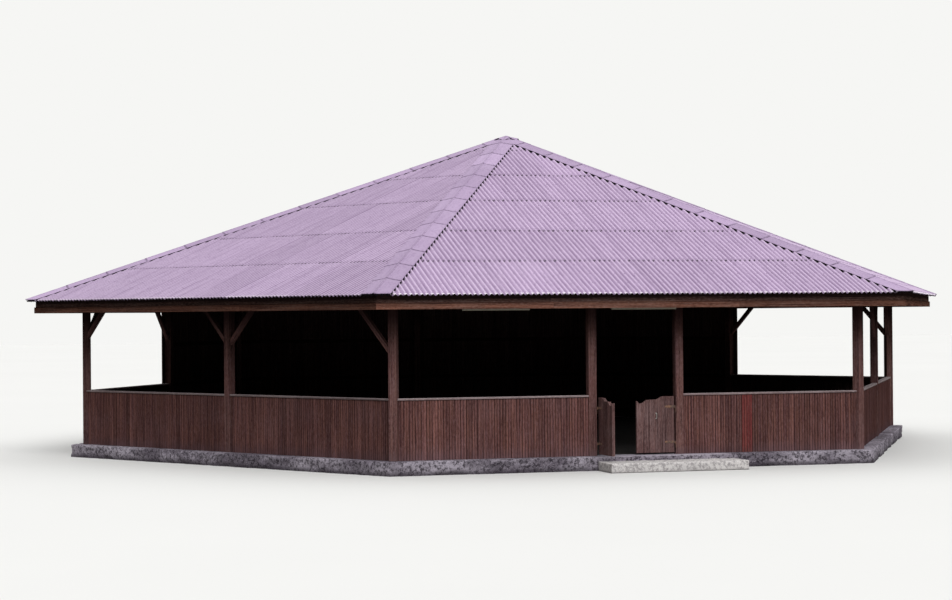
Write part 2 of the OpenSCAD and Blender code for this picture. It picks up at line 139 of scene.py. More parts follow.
class Graph:
    """Short ways to add and join the nodes of one material."""

    def __init__(self, name: str) -> None:
        """Starts a material, with its shader and the object's own coordinates.

        Args:
            name: Name of the material.
        """
        self.material = bpy.data.materials.new(name)
        self.material.use_nodes = True
        self.tree = self.material.node_tree
        self.shader = self.tree.nodes["Principled BSDF"]
        self.place = self.add("ShaderNodeTexCoord").outputs["Object"]

    def add(self, kind: str, **settings: object) -> bpy.types.Node:
        """Adds a node and sets its properties.

        Args:
            kind: Blender's name for the node's type.
            settings: Properties of the node by name.

        Returns:
            The new node.
        """
        node = self.tree.nodes.new(kind)
        for name, value in settings.items():
            setattr(node, name, value)
        return node

    def feed(self, socket: Socket, value: object) -> None:
        """Joins an input to an output, or sets its value.

        Args:
            socket: The input's socket.
            value: The output's socket, or the value.
        """
        if isinstance(value, Socket):
            self.tree.links.new(value, socket)
        else:
            socket.default_value = value

    def math(self, operation: str, a: object, b: object = 0.0, clamp: bool = False) -> Socket:
        """Adds a Math node.

        Args:
            operation: Blender's name for the sum.
            a: First socket or number.
            b: Second socket or number.
            clamp: Whether the result stays between 0 and 1.

        Returns:
            The result's socket.
        """
        node = self.add("ShaderNodeMath", operation=operation, use_clamp=clamp)
        self.feed(node.inputs[0], a)
        self.feed(node.inputs[1], b)
        return node.outputs[0]

    def times(self, a: object, b: object, clamp: bool = False) -> Socket:
        """The product of two sockets or numbers, kept between 0 and 1 if clamp is set."""
        return self.math("MULTIPLY", a, b, clamp)

    def stretch(self, at: object, by: Numbers) -> Socket:
        """Multiplies coordinates axis by axis.

        Args:
            at: Socket of the coordinates.
            by: Factor for each axis.

        Returns:
            Socket of the stretched coordinates.
        """
        node = self.add("ShaderNodeVectorMath", operation="MULTIPLY")
        self.feed(node.inputs[0], at)
        node.inputs[1].default_value = by
        return node.outputs[0]

    def noise(self, at: object, by: Numbers, detail: float = 4.0, rough: float = 0.55) -> Socket:
        """Adds cloudy noise.

        Args:
            at: Socket of the coordinates, in metres.
            by: Cells per metre along each axis.
            detail: Number of finer layers.
            rough: Share of the finer layers.

        Returns:
            Socket of the noise, around 0.5.
        """
        node = self.add("ShaderNodeTexNoise")
        node.inputs["Scale"].default_value = 1.0
        node.inputs["Detail"].default_value = detail
        node.inputs["Roughness"].default_value = rough
        self.feed(node.inputs["Vector"], self.stretch(at, by))
        return node.outputs["Fac"]

    def cells(self, at: object, by: Numbers, output: str = "Distance") -> Socket:
        """Adds a Voronoi pattern.

        Args:
            at: Socket of the coordinates, in metres.
            by: Cells per metre along each axis.
            output: Distance to the cell's point, or Color of the cell.

        Returns:
            Socket of that output.
        """
        node = self.add("ShaderNodeTexVoronoi")
        node.inputs["Scale"].default_value = 1.0
        self.feed(node.inputs["Vector"], self.stretch(at, by))
        return node.outputs[output]

    def ramp(self, value: object, low: float, high: float, to_low: float = 0.0,
             to_high: float = 1.0) -> Socket:
        """Maps a range smoothly onto another one.

        Args:
            value: Socket to map.
            low: Value that gives to_low, as do all below it.
            high: Value that gives to_high, as do all above it.
            to_low: Result at low.
            to_high: Result at high.

        Returns:
            Socket of the result.
        """
        node = self.add("ShaderNodeMapRange", interpolation_type="SMOOTHSTEP")
        self.feed(node.inputs["Value"], value)
        limits = (("From Min", low), ("From Max", high), ("To Min", to_low), ("To Max", to_high))
        for name, number in limits:
            node.inputs[name].default_value = number
        return node.outputs["Result"]

    def mix(self, share: object, a: object, b: object) -> Socket:
        """Mixes two colours.

        Args:
            share: Share of the second colour.
            a: First colour, a socket or a display colour.
            b: Second colour, a socket or a display colour.

        Returns:
            Socket of the mixed colour.
        """
        node = self.add("ShaderNodeMix", data_type="RGBA")
        self.feed(node.inputs["Factor"], share)
        self.feed(node.inputs["A"], a if isinstance(a, Socket) else linear(a))
        self.feed(node.inputs["B"], b if isinstance(b, Socket) else linear(b))
        return node.outputs["Result"]

    def scaled(self, colour: object, by: object) -> Socket:
        """Makes a colour lighter or darker.

        Args:
            colour: Socket of the colour.
            by: The factor, a socket or a number.

        Returns:
            Socket of the new colour.
        """
        node = self.add("ShaderNodeVectorMath", operation="SCALE")
        self.feed(node.inputs[0], colour)
        self.feed(node.inputs["Scale"], by)
        return node.outputs[0]

    def axis(self, at: object, name: str) -> Socket:
        """Takes one axis of a vector.

        Args:
            at: Socket of the vector.
            name: X, Y or Z.

        Returns:
            Socket of that axis.
        """
        node = self.add("ShaderNodeSeparateXYZ")
        self.feed(node.inputs[0], at)
        return node.outputs[name]

    def mark(self, name: str, output: str = "Fac") -> Socket:
        """A named attribute of the mesh, as Fac or Vector."""
        return self.add("ShaderNodeAttribute", attribute_name=name).outputs[output]

    def on_side(self) -> Socket:
        """Turns the coordinates so that each of the six sides lies like the front one.

        Returns:
            Socket of the turned coordinates, with X along the side.
        """
        bearing = self.math("ARCTAN2", self.axis(self.place, "Y"), self.axis(self.place, "X"))
        sector = self.math("ROUND", self.math("DIVIDE", self.math("ADD", bearing, math.pi / 2), 2 * HALF))
        turn = self.add("ShaderNodeVectorRotate", rotation_type="Z_AXIS")
        self.feed(turn.inputs["Vector"], self.place)
        self.feed(turn.inputs["Angle"], self.times(sector, -2 * HALF))
        return turn.outputs[0]

    def by_tone(self, rise: float, middle: float = 1.0) -> Socket:
        """Makes a factor from the tone of each solid.

        Args:
            rise: How much the factor grows from a tone of 0 to one of 1.
            middle: The factor at a tone of 0.

        Returns:
            Socket of the factor.
        """
        factor = self.math("MULTIPLY_ADD", self.mark("tone"), rise)
        factor.node.inputs[2].default_value = middle
        return factor

    def ragged_height(self, cloud: Socket, by: float) -> Socket:
        """Height above the ground plus a noise around 0.5 times a length, for ragged edges."""
        return self.math("ADD", self.axis(self.place, "Z"), self.times(self.math("SUBTRACT", cloud, 0.5), by))

    def facing_up(self) -> Socket:
        """How much the surface faces up, from -1 to 1."""
        return self.axis(self.add("ShaderNodeNewGeometry").outputs["Normal"], "Z")

    def dress(self, colour: object, rough: object, height: object, depth: float, metal: float = 0.0,
              gloss: float = 0.5) -> Material:
        """Sets the shader's inputs.

        Args:
            colour: Socket of the colour.
            rough: Socket or number of the roughness.
            height: Socket of the relief, from 0 to 1.
            depth: Height of the relief in metres.
            metal: 1 for bare metal.
            gloss: How strongly the surface mirrors, where 0.5 is usual for smooth paint.

        Returns:
            The finished material.
        """
        self.feed(self.shader.inputs["Base Color"], colour)
        self.feed(self.shader.inputs["Roughness"], rough)
        self.shader.inputs["Metallic"].default_value = metal
        self.shader.inputs["Specular IOR Level"].default_value = gloss
        bump = self.add("ShaderNodeBump")
        bump.inputs["Strength"].default_value = 1.0
        bump.inputs["Distance"].default_value = depth
        self.feed(bump.inputs["Height"], height)
        self.feed(self.shader.inputs["Normal"], bump.outputs["Normal"])
        return self.material


class Grain(Enum):
    """Where a timber finish takes the direction of its grain from."""

    MARKED = "marked"
    ALONG_SIDE = "along_side"
    UP_SLOPE = "up_slope"
    UPRIGHT = "upright"


@dataclass(frozen=True)
class Timber:
    """Stained or bare wood: streaks, knots, weathering, a dirty foot and painted shade at its head."""

    name: str
    base: Tint
    dark: Tint
    light: Tint
    worn: Tint
    grain: Grain = Grain.MARKED
    spread: float = 0.22
    wear: float = 0.35
    # Share of a paler top: partly real wear, partly a painted highlight where light falls on it.
    top_wear: float = 0.0
    dirt_from: float = 0.0
    dirt_to: float = 0.0
    # Heights between which painted shade darkens the wood towards its head.
    head_shade_from: float = 0.0
    head_shade_to: float = 0.0
    speckle: float = 0.5
    relief: float = 0.0016
    rough: float = 0.82
    gloss: float = 0.0

    def grain_place(self, graph: Graph) -> Socket:
        """Coordinates whose Z axis runs along the grain.

        Args:
            graph: The material's graph.

        Returns:
            Socket of the coordinates, in metres.
        """
        if self.grain is Grain.MARKED:
            return graph.mark("grain", "Vector")
        if self.grain is Grain.UPRIGHT:
            return graph.place
        turned_place = graph.on_side()
        order = graph.add("ShaderNodeCombineXYZ")
        along, across = ("X", "Y") if self.grain is Grain.ALONG_SIDE else ("Y", "X")
        graph.feed(order.inputs["X"], graph.axis(turned_place, across))
        graph.feed(order.inputs["Y"], graph.axis(turned_place, "Z"))
        graph.feed(order.inputs["Z"], graph.axis(turned_place, along))
        return order.outputs[0]

    def build(self) -> Material:
        """Makes the material.

        Returns:
            The finished material.
        """
        g = Graph(self.name)
        at = self.grain_place(g)
        fine = g.noise(at, (130, 130, 3.2), 5, 0.6)
        broad = g.noise(at, (32, 32, 0.9), 4, 0.5)
        hue = g.noise(at, (0.9, 0.9, 0.25), 1)
        colour = g.mix(g.ramp(broad, 0.36, 0.66), self.base, self.light)
        colour = g.mix(g.ramp(fine, 0.50, 0.70, 0.0, 0.85), colour, self.dark)
        patches = g.noise(g.place, (0.8, 0.8, 1.6), 5, 0.6)
        streaks = g.noise(at, (48, 48, 1.1), 3, 0.6)
        fade = g.times(g.ramp(patches, 0.42, 0.68), g.ramp(streaks, 0.40, 0.62, 0.25, 1.0))
        colour = g.mix(g.times(fade, self.wear), colour, self.worn)
        colour = g.mix(g.ramp(hue, 0.40, 0.62, 0.0, 0.20), colour, self.light)
        lines = g.noise(at, (46, 46, 0.8), 2, 0.5)
        colour = g.mix(g.ramp(lines, 0.50, 0.60, 0.0, 0.45), colour, self.dark)
        speck = g.noise(at, (58, 58, 15), 4, 0.7)
        colour = g.mix(g.ramp(speck, 0.50, 0.66, 0.0, self.speckle), colour, self.dark)
        colour = g.mix(g.ramp(speck, 0.47, 0.34, 0.0, self.speckle), colour, self.worn)
        knots = g.cells(at, (17, 17, 2.6))
        sparse = g.ramp(g.noise(at, (9, 9, 1.3), 1), 0.58, 0.62)
        knot = g.times(g.ramp(knots, 0.13, 0.05), sparse)
        colour = g.mix(g.times(knot, 0.7), colour, self.dark)
        if self.dirt_to > self.dirt_from:
            low = g.ramp(g.ragged_height(streaks, 0.5), self.dirt_from, self.dirt_to, 0.75, 0.0)
            colour = g.mix(low, colour, g.mix(patches, self.dark, self.worn))
        # Painted shade at the head, growing darker upward.
        if self.head_shade_to > self.head_shade_from:
            head_shade = g.ramp(g.ragged_height(broad, 0.16), self.head_shade_from, self.head_shade_to, 0.0, 0.85)
            colour = g.mix(head_shade, colour, self.dark)
        # Paler upward faces: partly real wear, partly a painted highlight of the lit top.
        if self.top_wear:
            worn_and_lit_top = g.times(g.ramp(g.facing_up(), 0.3, 0.9), g.ramp(streaks, 0.3, 0.6, 0.55, 1.0))
            colour = g.mix(g.times(worn_and_lit_top, self.top_wear), colour, self.worn)
        if self.grain is Grain.MARKED:
            colour = g.scaled(colour, g.by_tone(self.spread))
        checks = g.ramp(g.noise(at, (60, 60, 0.7), 2, 0.4), 0.655, 0.675)
        colour = g.mix(g.times(checks, 0.6), colour, self.dark)
        relief = g.math("SUBTRACT", g.times(fine, 0.45), g.times(checks, 0.55))
        rough = g.ramp(streaks, 0.3, 0.7, self.rough, self.rough - 0.14)
        return g.dress(colour, rough, relief, self.relief, gloss=self.gloss)


@dataclass(frozen=True)
class WaveSheet:
    """Faded fibre sheet: pale on its crests and dirtier in its troughs, with painted shade at its laps and
    along the hip caps, and a painted highlight on its crest ends at the eave.
    """

    name: str
    base: Tint
    crest: Tint
    trough: Tint
    stain: Tint
    wave_h: float
    plain: bool = False
    spread: float = 0.05
    eave_z: float = 0.0
    # Half width of the hip caps; shade is painted into the troughs beside and under them.
    hood: float = 0.0
    # Colour of the painted highlight on the crest ends along the eave.
    end_highlight: Tint = (246, 236, 248)
    shadow: Tint = (14, 10, 14)

    def build(self) -> Material:
        """Makes the material from the place across, the wave's height and the place up in the marks.

        Returns:
            The finished material.
        """
        g, wave_h = Graph(self.name), self.wave_h
        at = g.mark("grain", "Vector")
        height = g.axis(at, "Y")
        up = g.axis(at, "Z")
        broad = g.noise(g.place, (0.55, 0.55, 0.9), 4, 0.6)
        streak = g.noise(g.stretch(at, (1, 0, 1)), (34, 0, 1.3), 4, 0.6)
        fibre = g.noise(g.place, (210, 210, 210), 3, 0.6)
        deep = g.ramp(g.times(height, g.by_tone(-0.2)), -0.1 * wave_h, -0.95 * wave_h)
        mottle = g.noise(g.place, (24, 24, 24), 3, 0.65)
        colour = g.mix(g.ramp(broad, 0.35, 0.65, 0.0, 0.4), self.base, self.crest)
        colour = g.mix(g.ramp(mottle, 0.48, 0.68, 0.0, 0.55), colour, self.trough)
        if not self.plain:
            colour = g.mix(g.ramp(height, -0.45 * wave_h, 0.0, 0.0, 0.7), colour, self.crest)
            rows = g.noise(g.stretch(at, (1, 0, 1)), (8.5, 0, 0.22), 2, 0.6)
            colour = g.mix(g.ramp(rows, 0.50, 0.66, 0.0, 0.22), colour, self.trough)
            wet = g.times(deep, g.ramp(streak, 0.3, 0.62, 0.45, 1.0))
            colour = g.mix(g.times(wet, 0.9), colour, self.trough)
            # Painted shade in the troughs just below each lap, broken into dashes.
            shaded = g.ramp(height, -0.20 * wave_h, -0.6 * wave_h)
            lap_shade = g.times(g.ramp(up, 0.075, 0.010), shaded)
            dash = g.ramp(g.noise(g.stretch(at, (1, 0, 0)), (9, 0, 0), 2), 0.42, 0.56, 0.35, 1.0)
            colour = g.mix(g.times(lap_shade, g.times(dash, 0.95)), colour, self.shadow)
            # Painted highlight on the crest ends along the eave.
            low = g.ramp(g.axis(g.place, "Z"), self.eave_z + 0.030, self.eave_z + 0.012)
            lit_end = g.times(low, g.ramp(height, -0.75 * wave_h, -0.35 * wave_h))
            paler = g.times(g.by_tone(0.22, 0.95), 0.85, True)
            colour = g.mix(g.times(lit_end, paler), colour, self.end_highlight)
        else:
            colour = g.mix(g.ramp(streak, 0.50, 0.72, 0.0, 0.35), colour, self.trough)
            fold = g.ramp(g.math("ABSOLUTE", g.axis(at, "X")), 0.030, 0.016, 0.0, 0.30)
            edge = g.math("MAXIMUM", g.ramp(up, 0.050, 0.020), fold)
            patchy = g.ramp(mottle, 0.35, 0.60, 0.25, 0.85)
            colour = g.mix(g.times(edge, patchy), colour, self.stain)
        # Painted shade: black in the troughs just outside each hip cap's edge and under the cap.
        if self.hood:
            on_face = g.on_side()
            across = g.times(g.axis(on_face, "Y"), -TAN_HALF)
            to_hip = g.math("SUBTRACT", across, g.math("ABSOLUTE", g.axis(on_face, "X")))
            gap = g.times(to_hip, COS_HALF)
            deeper = g.ramp(height, -0.30 * wave_h, -0.55 * wave_h)
            trough_shade = g.times(g.ramp(gap, self.hood + 0.018, self.hood + 0.006), deeper)
            cap_shade = g.math("MAXIMUM", g.ramp(gap, self.hood + 0.002, self.hood - 0.008), trough_shade)
            colour = g.mix(cap_shade, colour, self.shadow)
        spots = g.times(g.ramp(g.cells(g.place, (9, 9, 9)), 0.16, 0.06), g.ramp(broad, 0.50, 0.60))
        colour = g.mix(g.times(spots, 0.4), colour, self.stain)
        colour = g.mix(g.ramp(fibre, 0.35, 0.75, 0.0, 0.16), colour, self.stain)
        colour = g.scaled(colour, g.by_tone(self.spread))
        return g.dress(colour, g.ramp(fibre, 0.3, 0.7, 0.62, 0.8), fibre, 0.0006, gloss=0.12)


@dataclass(frozen=True)
class Concrete:
    """Cast concrete with stones, pits, stains, a darker damp foot and a paler stretch where feet tread."""

    name: str
    base: Tint
    dark: Tint
    pale: Tint
    damp_to: float = 0.0
    stones: float = 0.4
    relief: float = 0.006
    trodden: Pair | None = None

    def build(self) -> Material:
        """Makes the material.

        Returns:
            The finished material.
        """
        g = Graph(self.name)
        broad = g.noise(g.place, (1.1, 1.1, 2.2), 5, 0.6)
        middle = g.noise(g.place, (19, 19, 19), 4, 0.68)
        fine = g.noise(g.place, (95, 95, 95), 3, 0.6)
        colour = g.mix(g.ramp(broad, 0.36, 0.64), self.base, self.pale)
        colour = g.mix(g.ramp(middle, 0.44, 0.62, 0.0, 0.85), colour, self.dark)
        pebbles = (38, 38, 38)
        shade = g.axis(g.cells(g.place, pebbles, "Color"), "X")
        from_middle = g.math("ADD", g.cells(g.place, pebbles), g.times(fine, 0.35))
        inside_stone = g.ramp(from_middle, 0.72, 0.38)
        stone = g.mix(g.ramp(shade, 0.2, 0.8), self.dark, self.pale)
        colour = g.mix(g.times(inside_stone, self.stones), colour, stone)
        colour = g.mix(g.ramp(fine, 0.52, 0.75, 0.0, 0.45), colour, self.dark)
        if self.damp_to:
            damp = g.ramp(g.ragged_height(middle, 0.16), 0.0, self.damp_to, 0.7, 0.0)
            colour = g.mix(damp, colour, self.dark)
        if self.trodden:
            x, from_x, to_x = g.axis(g.place, "X"), *self.trodden
            along = g.times(g.ramp(x, from_x - 0.05, from_x + 0.25), g.ramp(x, to_x + 0.05, to_x - 0.25))
            on_top = g.ramp(g.facing_up(), 0.4, 0.8)
            front = g.ramp(g.axis(g.place, "Y"), -1.0, -2.0)
            patchy = g.ramp(middle, 0.4, 0.7, 0.85, 0.5)
            worn = g.times(g.times(along, on_top), g.times(front, patchy))
            colour = g.mix(worn, colour, self.pale)
        relief = g.math("ADD", g.times(middle, 0.6), g.times(fine, 0.3))
        return g.dress(colour, g.ramp(fine, 0.3, 0.7, 0.95, 0.82), relief, self.relief, gloss=0.15)


@dataclass(frozen=True)
class Metal:
    """Painted, galvanised or rusting metal."""

    name: str
    base: Tint
    patch: Tint
    patch_from: float = 0.5
    metal: float = 0.0
    rough: float = 0.5
    relief: float = 0.0004

    def build(self) -> Material:
        """Makes the material.

        Returns:
            The finished material.
        """
        g = Graph(self.name)
        broad = g.noise(g.place, (24, 24, 24), 5, 0.65)
        fine = g.noise(g.place, (260, 260, 260), 3, 0.6)
        rust = g.ramp(broad, self.patch_from, self.patch_from + 0.12)
        colour = g.mix(rust, self.base, self.patch)
        colour = g.mix(g.ramp(fine, 0.4, 0.8, 0.0, 0.3), colour, self.patch)
        rough = g.ramp(broad, self.patch_from, self.patch_from + 0.12, self.rough, min(1.0, self.rough + 0.3))
        return g.dress(colour, rough, fine, self.relief, self.metal)


@dataclass(frozen=True)
class MilkyCover:
    """Milky plastic of a lamp's cover, yellowed and dusty."""

    name: str
    base: Tint
    dust: Tint

    def build(self) -> Material:
        """Makes the material.

        Returns:
            The finished material.
        """
        g = Graph(self.name)
        dust = g.noise(g.place, (30, 60, 60), 4, 0.6)
        colour = g.mix(g.ramp(dust, 0.45, 0.75, 0.0, 0.7), self.base, self.dust)
        ribs = g.add("ShaderNodeTexWave", bands_direction="X")
        ribs.inputs["Scale"].default_value = 60.0
        g.feed(ribs.inputs["Vector"], g.place)
        return g.dress(colour, g.ramp(dust, 0.3, 0.7, 0.3, 0.5), ribs.outputs["Fac"], 0.0003)


@dataclass(frozen=True)
class Solid:
    """A closed mesh with its grain coordinates and the finish of each face."""

    points: Array
    faces: Faces
    grain: Array
    finishes: list[int]

    def moved(self, matrix: Array) -> "Solid":
        """Places the solid by a 4x4 matrix, and turns its faces over if that mirrors it.

        Args:
            matrix: The placing matrix.

        Returns:
            The placed solid.
        """
        points = self.points @ matrix[:3, :3].T + matrix[:3, 3]
        mirrored = np.linalg.det(matrix[:3, :3]) < 0
        faces = [f[::-1] for f in self.faces] if mirrored else self.faces
        return Solid(points, faces, self.grain, self.finishes)

    def turned(self, degrees: float) -> "Solid":
        """The solid turned about the vertical axis."""
        return Solid(turned(self.points, degrees), self.faces, self.grain, self.finishes)

    def finished(self, kind: int) -> "Solid":
        """The solid with one finish on all its faces."""
        return Solid(self.points, self.faces, self.grain, [kind] * len(self.faces))


def plank(outline: Sequence[Numbers], depth: float, bevel: float, origin: Numbers, across: Numbers,
          along: Numbers, grain: Numbers, finishes: Sequence[int] | None = None) -> Solid:
    """Extrudes an outline, with bevelled edges round both its faces.

    Args:
        outline: Corners in the plane of across and along, counterclockwise.
        depth: Thickness, square to that plane.
        bevel: Size of the bevel.
        origin: Place of the outline's zero point.
        across: First axis of the plane.
        along: Second axis of the plane.
        grain: Direction of the grain.
        finishes: Finish of the side at each edge of the outline, or None for the first finish.

    Returns:
        The solid.
    """
    flat = np.asarray(outline, float)
    small = inset(flat, bevel)
    x, y = np.asarray(across, float), np.asarray(along, float)
    z = np.cross(x, y)
    rings = [(small, 0.0), (flat, bevel), (flat, depth - bevel), (small, depth)]
    points = np.concatenate([r @ np.stack([x, y]) + z * h for r, h in rings]) + np.asarray(origin, float)
    n = len(flat)
    faces: Faces = []
    kinds: list[int] = []
    for ring in range(3):
        for i in range(n):
            j = (i + 1) % n
            faces.append((ring * n + i, ring * n + j, ring * n + n + j, ring * n + n + i))
            kinds.append(finishes[i] if finishes else 0)
    faces += [tuple(range(n - 1, -1, -1)), tuple(range(3 * n, 4 * n))]
    kinds += [0, 0]
    g = np.asarray(grain, float)
    g = g / np.linalg.norm(g)
    side = np.cross(g, z if abs(g @ z) < 0.9 else x)
    side /= np.linalg.norm(side)
    return Solid(points, faces, points @ np.stack([side, np.cross(g, side), g]).T, kinds)


def tube(path: Sequence[Numbers], radius: float, sides: int) -> Solid:
    """Sweeps a circle along a path.

    Args:
        path: Points of the centre line.
        radius: Radius of the tube.
        sides: Number of flats round it.

    Returns:
        The closed tube.
    """
    line = np.asarray(path, float)
    ways = np.gradient(line, axis=0)
    ways /= np.linalg.norm(ways, axis=1)[:, None]
    hint = np.array([1.0, 0, 0]) if abs(ways[0][0]) < 0.9 else np.array([0, 1.0, 0])
    points = []
    for centre, way in zip(line, ways):
        a = np.cross(way, hint)
        a /= np.linalg.norm(a)
        hint = np.cross(a, way)
        turn = np.arange(sides) * 2 * math.pi / sides
        circle = np.outer(np.cos(turn), a) + np.outer(np.sin(turn), np.cross(way, a))
        points.append(centre + radius * circle)
    faces: Faces = []
    for r in range(len(line) - 1):
        for i in range(sides):
            j = (i + 1) % sides
            faces.append((r * sides + i, r * sides + j, (r + 1) * sides + j, (r + 1) * sides + i))
    last = (len(line) - 1) * sides
    faces += [tuple(range(sides - 1, -1, -1)), tuple(range(last, last + sides))]
    made = np.concatenate(points)
    return Solid(made, faces, made, [0] * len(faces))


def ring_tube(inner: float, outer: float, height: float, foot: Numbers, sides: int = 20) -> Solid:
    """Upright ring with a bore.

    Args:
        inner: Radius of the bore.
        outer: Outer radius.
        height: Height of the ring.
        foot: Middle of its lower end.
        sides: Number of flats round it.

    Returns:
        The closed ring.
    """
    turn = np.arange(sides) * 2 * math.pi / sides
    circle = np.stack([np.cos(turn), np.sin(turn), np.zeros(sides)], 1)
    loops = [(outer, 0.0), (outer, height), (inner, height), (inner, 0.0)]
    points = np.concatenate([circle * r + [0, 0, z] for r, z in loops]) + np.asarray(foot, float)
    faces = []
    for loop in range(4):
        for i in range(sides):
            j, up = (i + 1) % sides, ((loop + 1) % 4) * sides
            faces.append((loop * sides + i, loop * sides + j, up + j, up + i))
    return Solid(points, faces, points, [0] * len(faces))


def dome(centre: Array, way: Array, radius: float, height: float, sides: int = 6) -> Solid:
    """Low dome, such as a nail's or a bolt's head.

    Args:
        centre: Middle of its base.
        way: Unit vector from its base to its top.
        radius: Radius of the base.
        height: Height of the dome.
        sides: Number of sides.

    Returns:
        The closed dome.
    """
    a = np.cross(way, [0.0, 1.0, 0.0] if abs(way[1]) < 0.9 else [1.0, 0.0, 0.0])
    a /= np.linalg.norm(a)
    turn = np.arange(sides) * 2 * math.pi / sides
    ring = np.outer(np.cos(turn), a) + np.outer(np.sin(turn), np.cross(way, a))
    points = np.concatenate([centre + radius * ring, centre + 0.72 * radius * ring + 0.7 * height * way,
                             [centre + height * way]])
    faces: Faces = [tuple(range(sides - 1, -1, -1))]
    for i in range(sides):
        j = (i + 1) % sides
        faces.append((i, j, sides + j, sides + i))
        faces.append((sides + i, sides + j, 2 * sides))
    return Solid(points, faces, points, [0] * len(faces))


def shell(top: Array, bottom: Array, grain: Array) -> Solid:
    """Closes two grids of points into a sheet; its underside takes the second finish.

    Args:
        top: Points of the upper side, as rows, columns and axes.
        bottom: Points of the lower side, in the same order.
        grain: Grain coordinates of the upper side's points.

    Returns:
        The closed sheet.
    """
    rows, columns = top.shape[:2]
    size = rows * columns
    index = np.arange(size).reshape(rows, columns)
    a, b = index[:-1, :-1].ravel(), index[:-1, 1:].ravel()
    c, d = index[1:, 1:].ravel(), index[1:, :-1].ravel()
    rim = np.concatenate([index[0, :-1], index[:-1, -1], index[-1, :0:-1], index[:0:-1, 0]])
    after = np.roll(rim, -1)
    quads = np.concatenate([np.stack([a, b, c, d], 1), np.stack([d, c, b, a], 1) + size,
                            np.stack([rim + size, after + size, after, rim], 1)])
    kinds = [0] * len(a) + [1] * len(a) + [0] * len(rim)
    points = np.concatenate([top.reshape(-1, 3), bottom.reshape(-1, 3)])
    marks = np.concatenate([grain.reshape(-1, 3)] * 2)
    return Solid(points, [tuple(q) for q in quads.tolist()], marks, kinds)


def box_grid(lines: Sequence[Array]) -> tuple[Array, Faces]:
    """Surface of a box cut along the given planes, with shared corners.

    Args:
        lines: Places of the planes along each axis, in rising order.

    Returns:
        The points and the faces, turned outward.
    """
    found: dict[tuple[int, int, int], int] = {}
    faces: Faces = []

    def corner(i: int, j: int, k: int) -> int:
        """Number of the point at those planes."""
        return found.setdefault((i, j, k), len(found))

    counts = [len(line) for line in lines]
    for fixed in range(3):
        one, two = (fixed + 1) % 3, (fixed + 2) % 3
        for end in (0, counts[fixed] - 1):
            for i in range(counts[one] - 1):
                for j in range(counts[two] - 1):
                    loop = []
                    for di, dj in ((0, 0), (1, 0), (1, 1), (0, 1)):
                        key = [0, 0, 0]
                        key[fixed], key[one], key[two] = end, i + di, j + dj
                        loop.append(corner(*key))
                    faces.append(tuple(loop if end else loop[::-1]))
    points = np.array([[lines[axis][key[axis]] for axis in range(3)] for key in found])
    return points, faces


def lumps(at: Vector, size: float, more: float) -> float:
    """Broad unevenness of worn concrete at a point, 0 or more; size counts the lumps in a metre."""
    return max(0.0, more + noise.fractal(at * size, 0.9, 2.1, 4))


def chips(at: Vector, size: float) -> float:
    """Small chips of worn concrete at a point, from 0 to 1; size counts them in a metre."""
    return max(0.0, noise.noise(at * size)) ** 2


class Piece:
    """Solids that become one joined mesh object."""

    def __init__(self, name: str, seed: int) -> None:
        """Starts an empty piece.

        Args:
            name: Name of the object.
            seed: Start of its row of random numbers.
        """
        self.name = name
        self.random = np.random.default_rng(seed)
        self.solids: list[Solid] = []
        self.tones: list[float] = []

    def any_tone(self) -> float:
        """Draws a tone from -1 to 1, mostly near 0."""
        return float(np.clip(self.random.normal(0, 0.5), -1, 1))

    def add(self, solid: Solid, tone: float | None = None, shuffle: bool = True) -> None:
        """Adds a solid.

        Args:
            solid: The solid, in its place.
            tone: How light it is, with 0 for plain, or None for a random one from -1 to 1.
            shuffle: Whether its grain is shifted at random, so that no two look alike.
        """
        shift = self.random.uniform(-20, 20, 3) if shuffle else np.zeros(3)
        drawn = self.any_tone()
        self.solids.append(Solid(solid.points, solid.faces, solid.grain + shift, solid.finishes))
        self.tones.append(drawn if tone is None else tone)

    def make(self, slot: str, nodes: Sequence[str], materials: Finishes, body: str = ROOT,
             smooth: bool = False) -> bpy.types.Object:
        """Args:
            slot: The record's material slot; not used.
            nodes: CAD nodes that it stands for.
            materials: Its finishes, in the order that the solids' faces count them.
            body: The body that it rides on.
            smooth: Whether curved surfaces are shaded smooth.

        Returns:
            The object.
        """
        starts = np.cumsum([0] + [len(s.points) for s in self.solids])
        points = np.concatenate([s.points for s in self.solids])
        faces = [tuple(i + int(start) for i in f) for start, s in zip(starts, self.solids) for f in s.faces]
        mesh = bpy.data.meshes.new(self.name)
        mesh.from_pydata(points.tolist(), [], faces)
        grain = mesh.attributes.new("grain", "FLOAT_VECTOR", "POINT")
        grains = np.concatenate([s.grain for s in self.solids]).astype(np.float32)
        grain.data.foreach_set("vector", grains.ravel())
        tones = mesh.attributes.new("tone", "FLOAT", "POINT")
        spread = np.concatenate([np.full(len(s.points), t) for s, t in zip(self.solids, self.tones)])
        tones.data.foreach_set("value", spread.astype(np.float32))
        for material in materials:
            mesh.materials.append(material)
        kinds = np.concatenate([s.finishes for s in self.solids]).astype(np.int32)
        mesh.polygons.foreach_set("material_index", np.minimum(kinds, len(materials) - 1))
        mesh.polygons.foreach_set("use_smooth", np.full(len(faces), smooth))
        if smooth:
            mesh.set_sharp_from_angle(angle=SHARP)
        mesh.update()
        thing = bpy.data.objects.new(self.name, mesh)
        bpy.context.scene.collection.objects.link(thing)
        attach(thing, body)
        if nodes:
            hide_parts(*nodes)
        LOG.info("%s: %d solids, %d faces", self.name, len(self.solids), len(faces))
        return thing


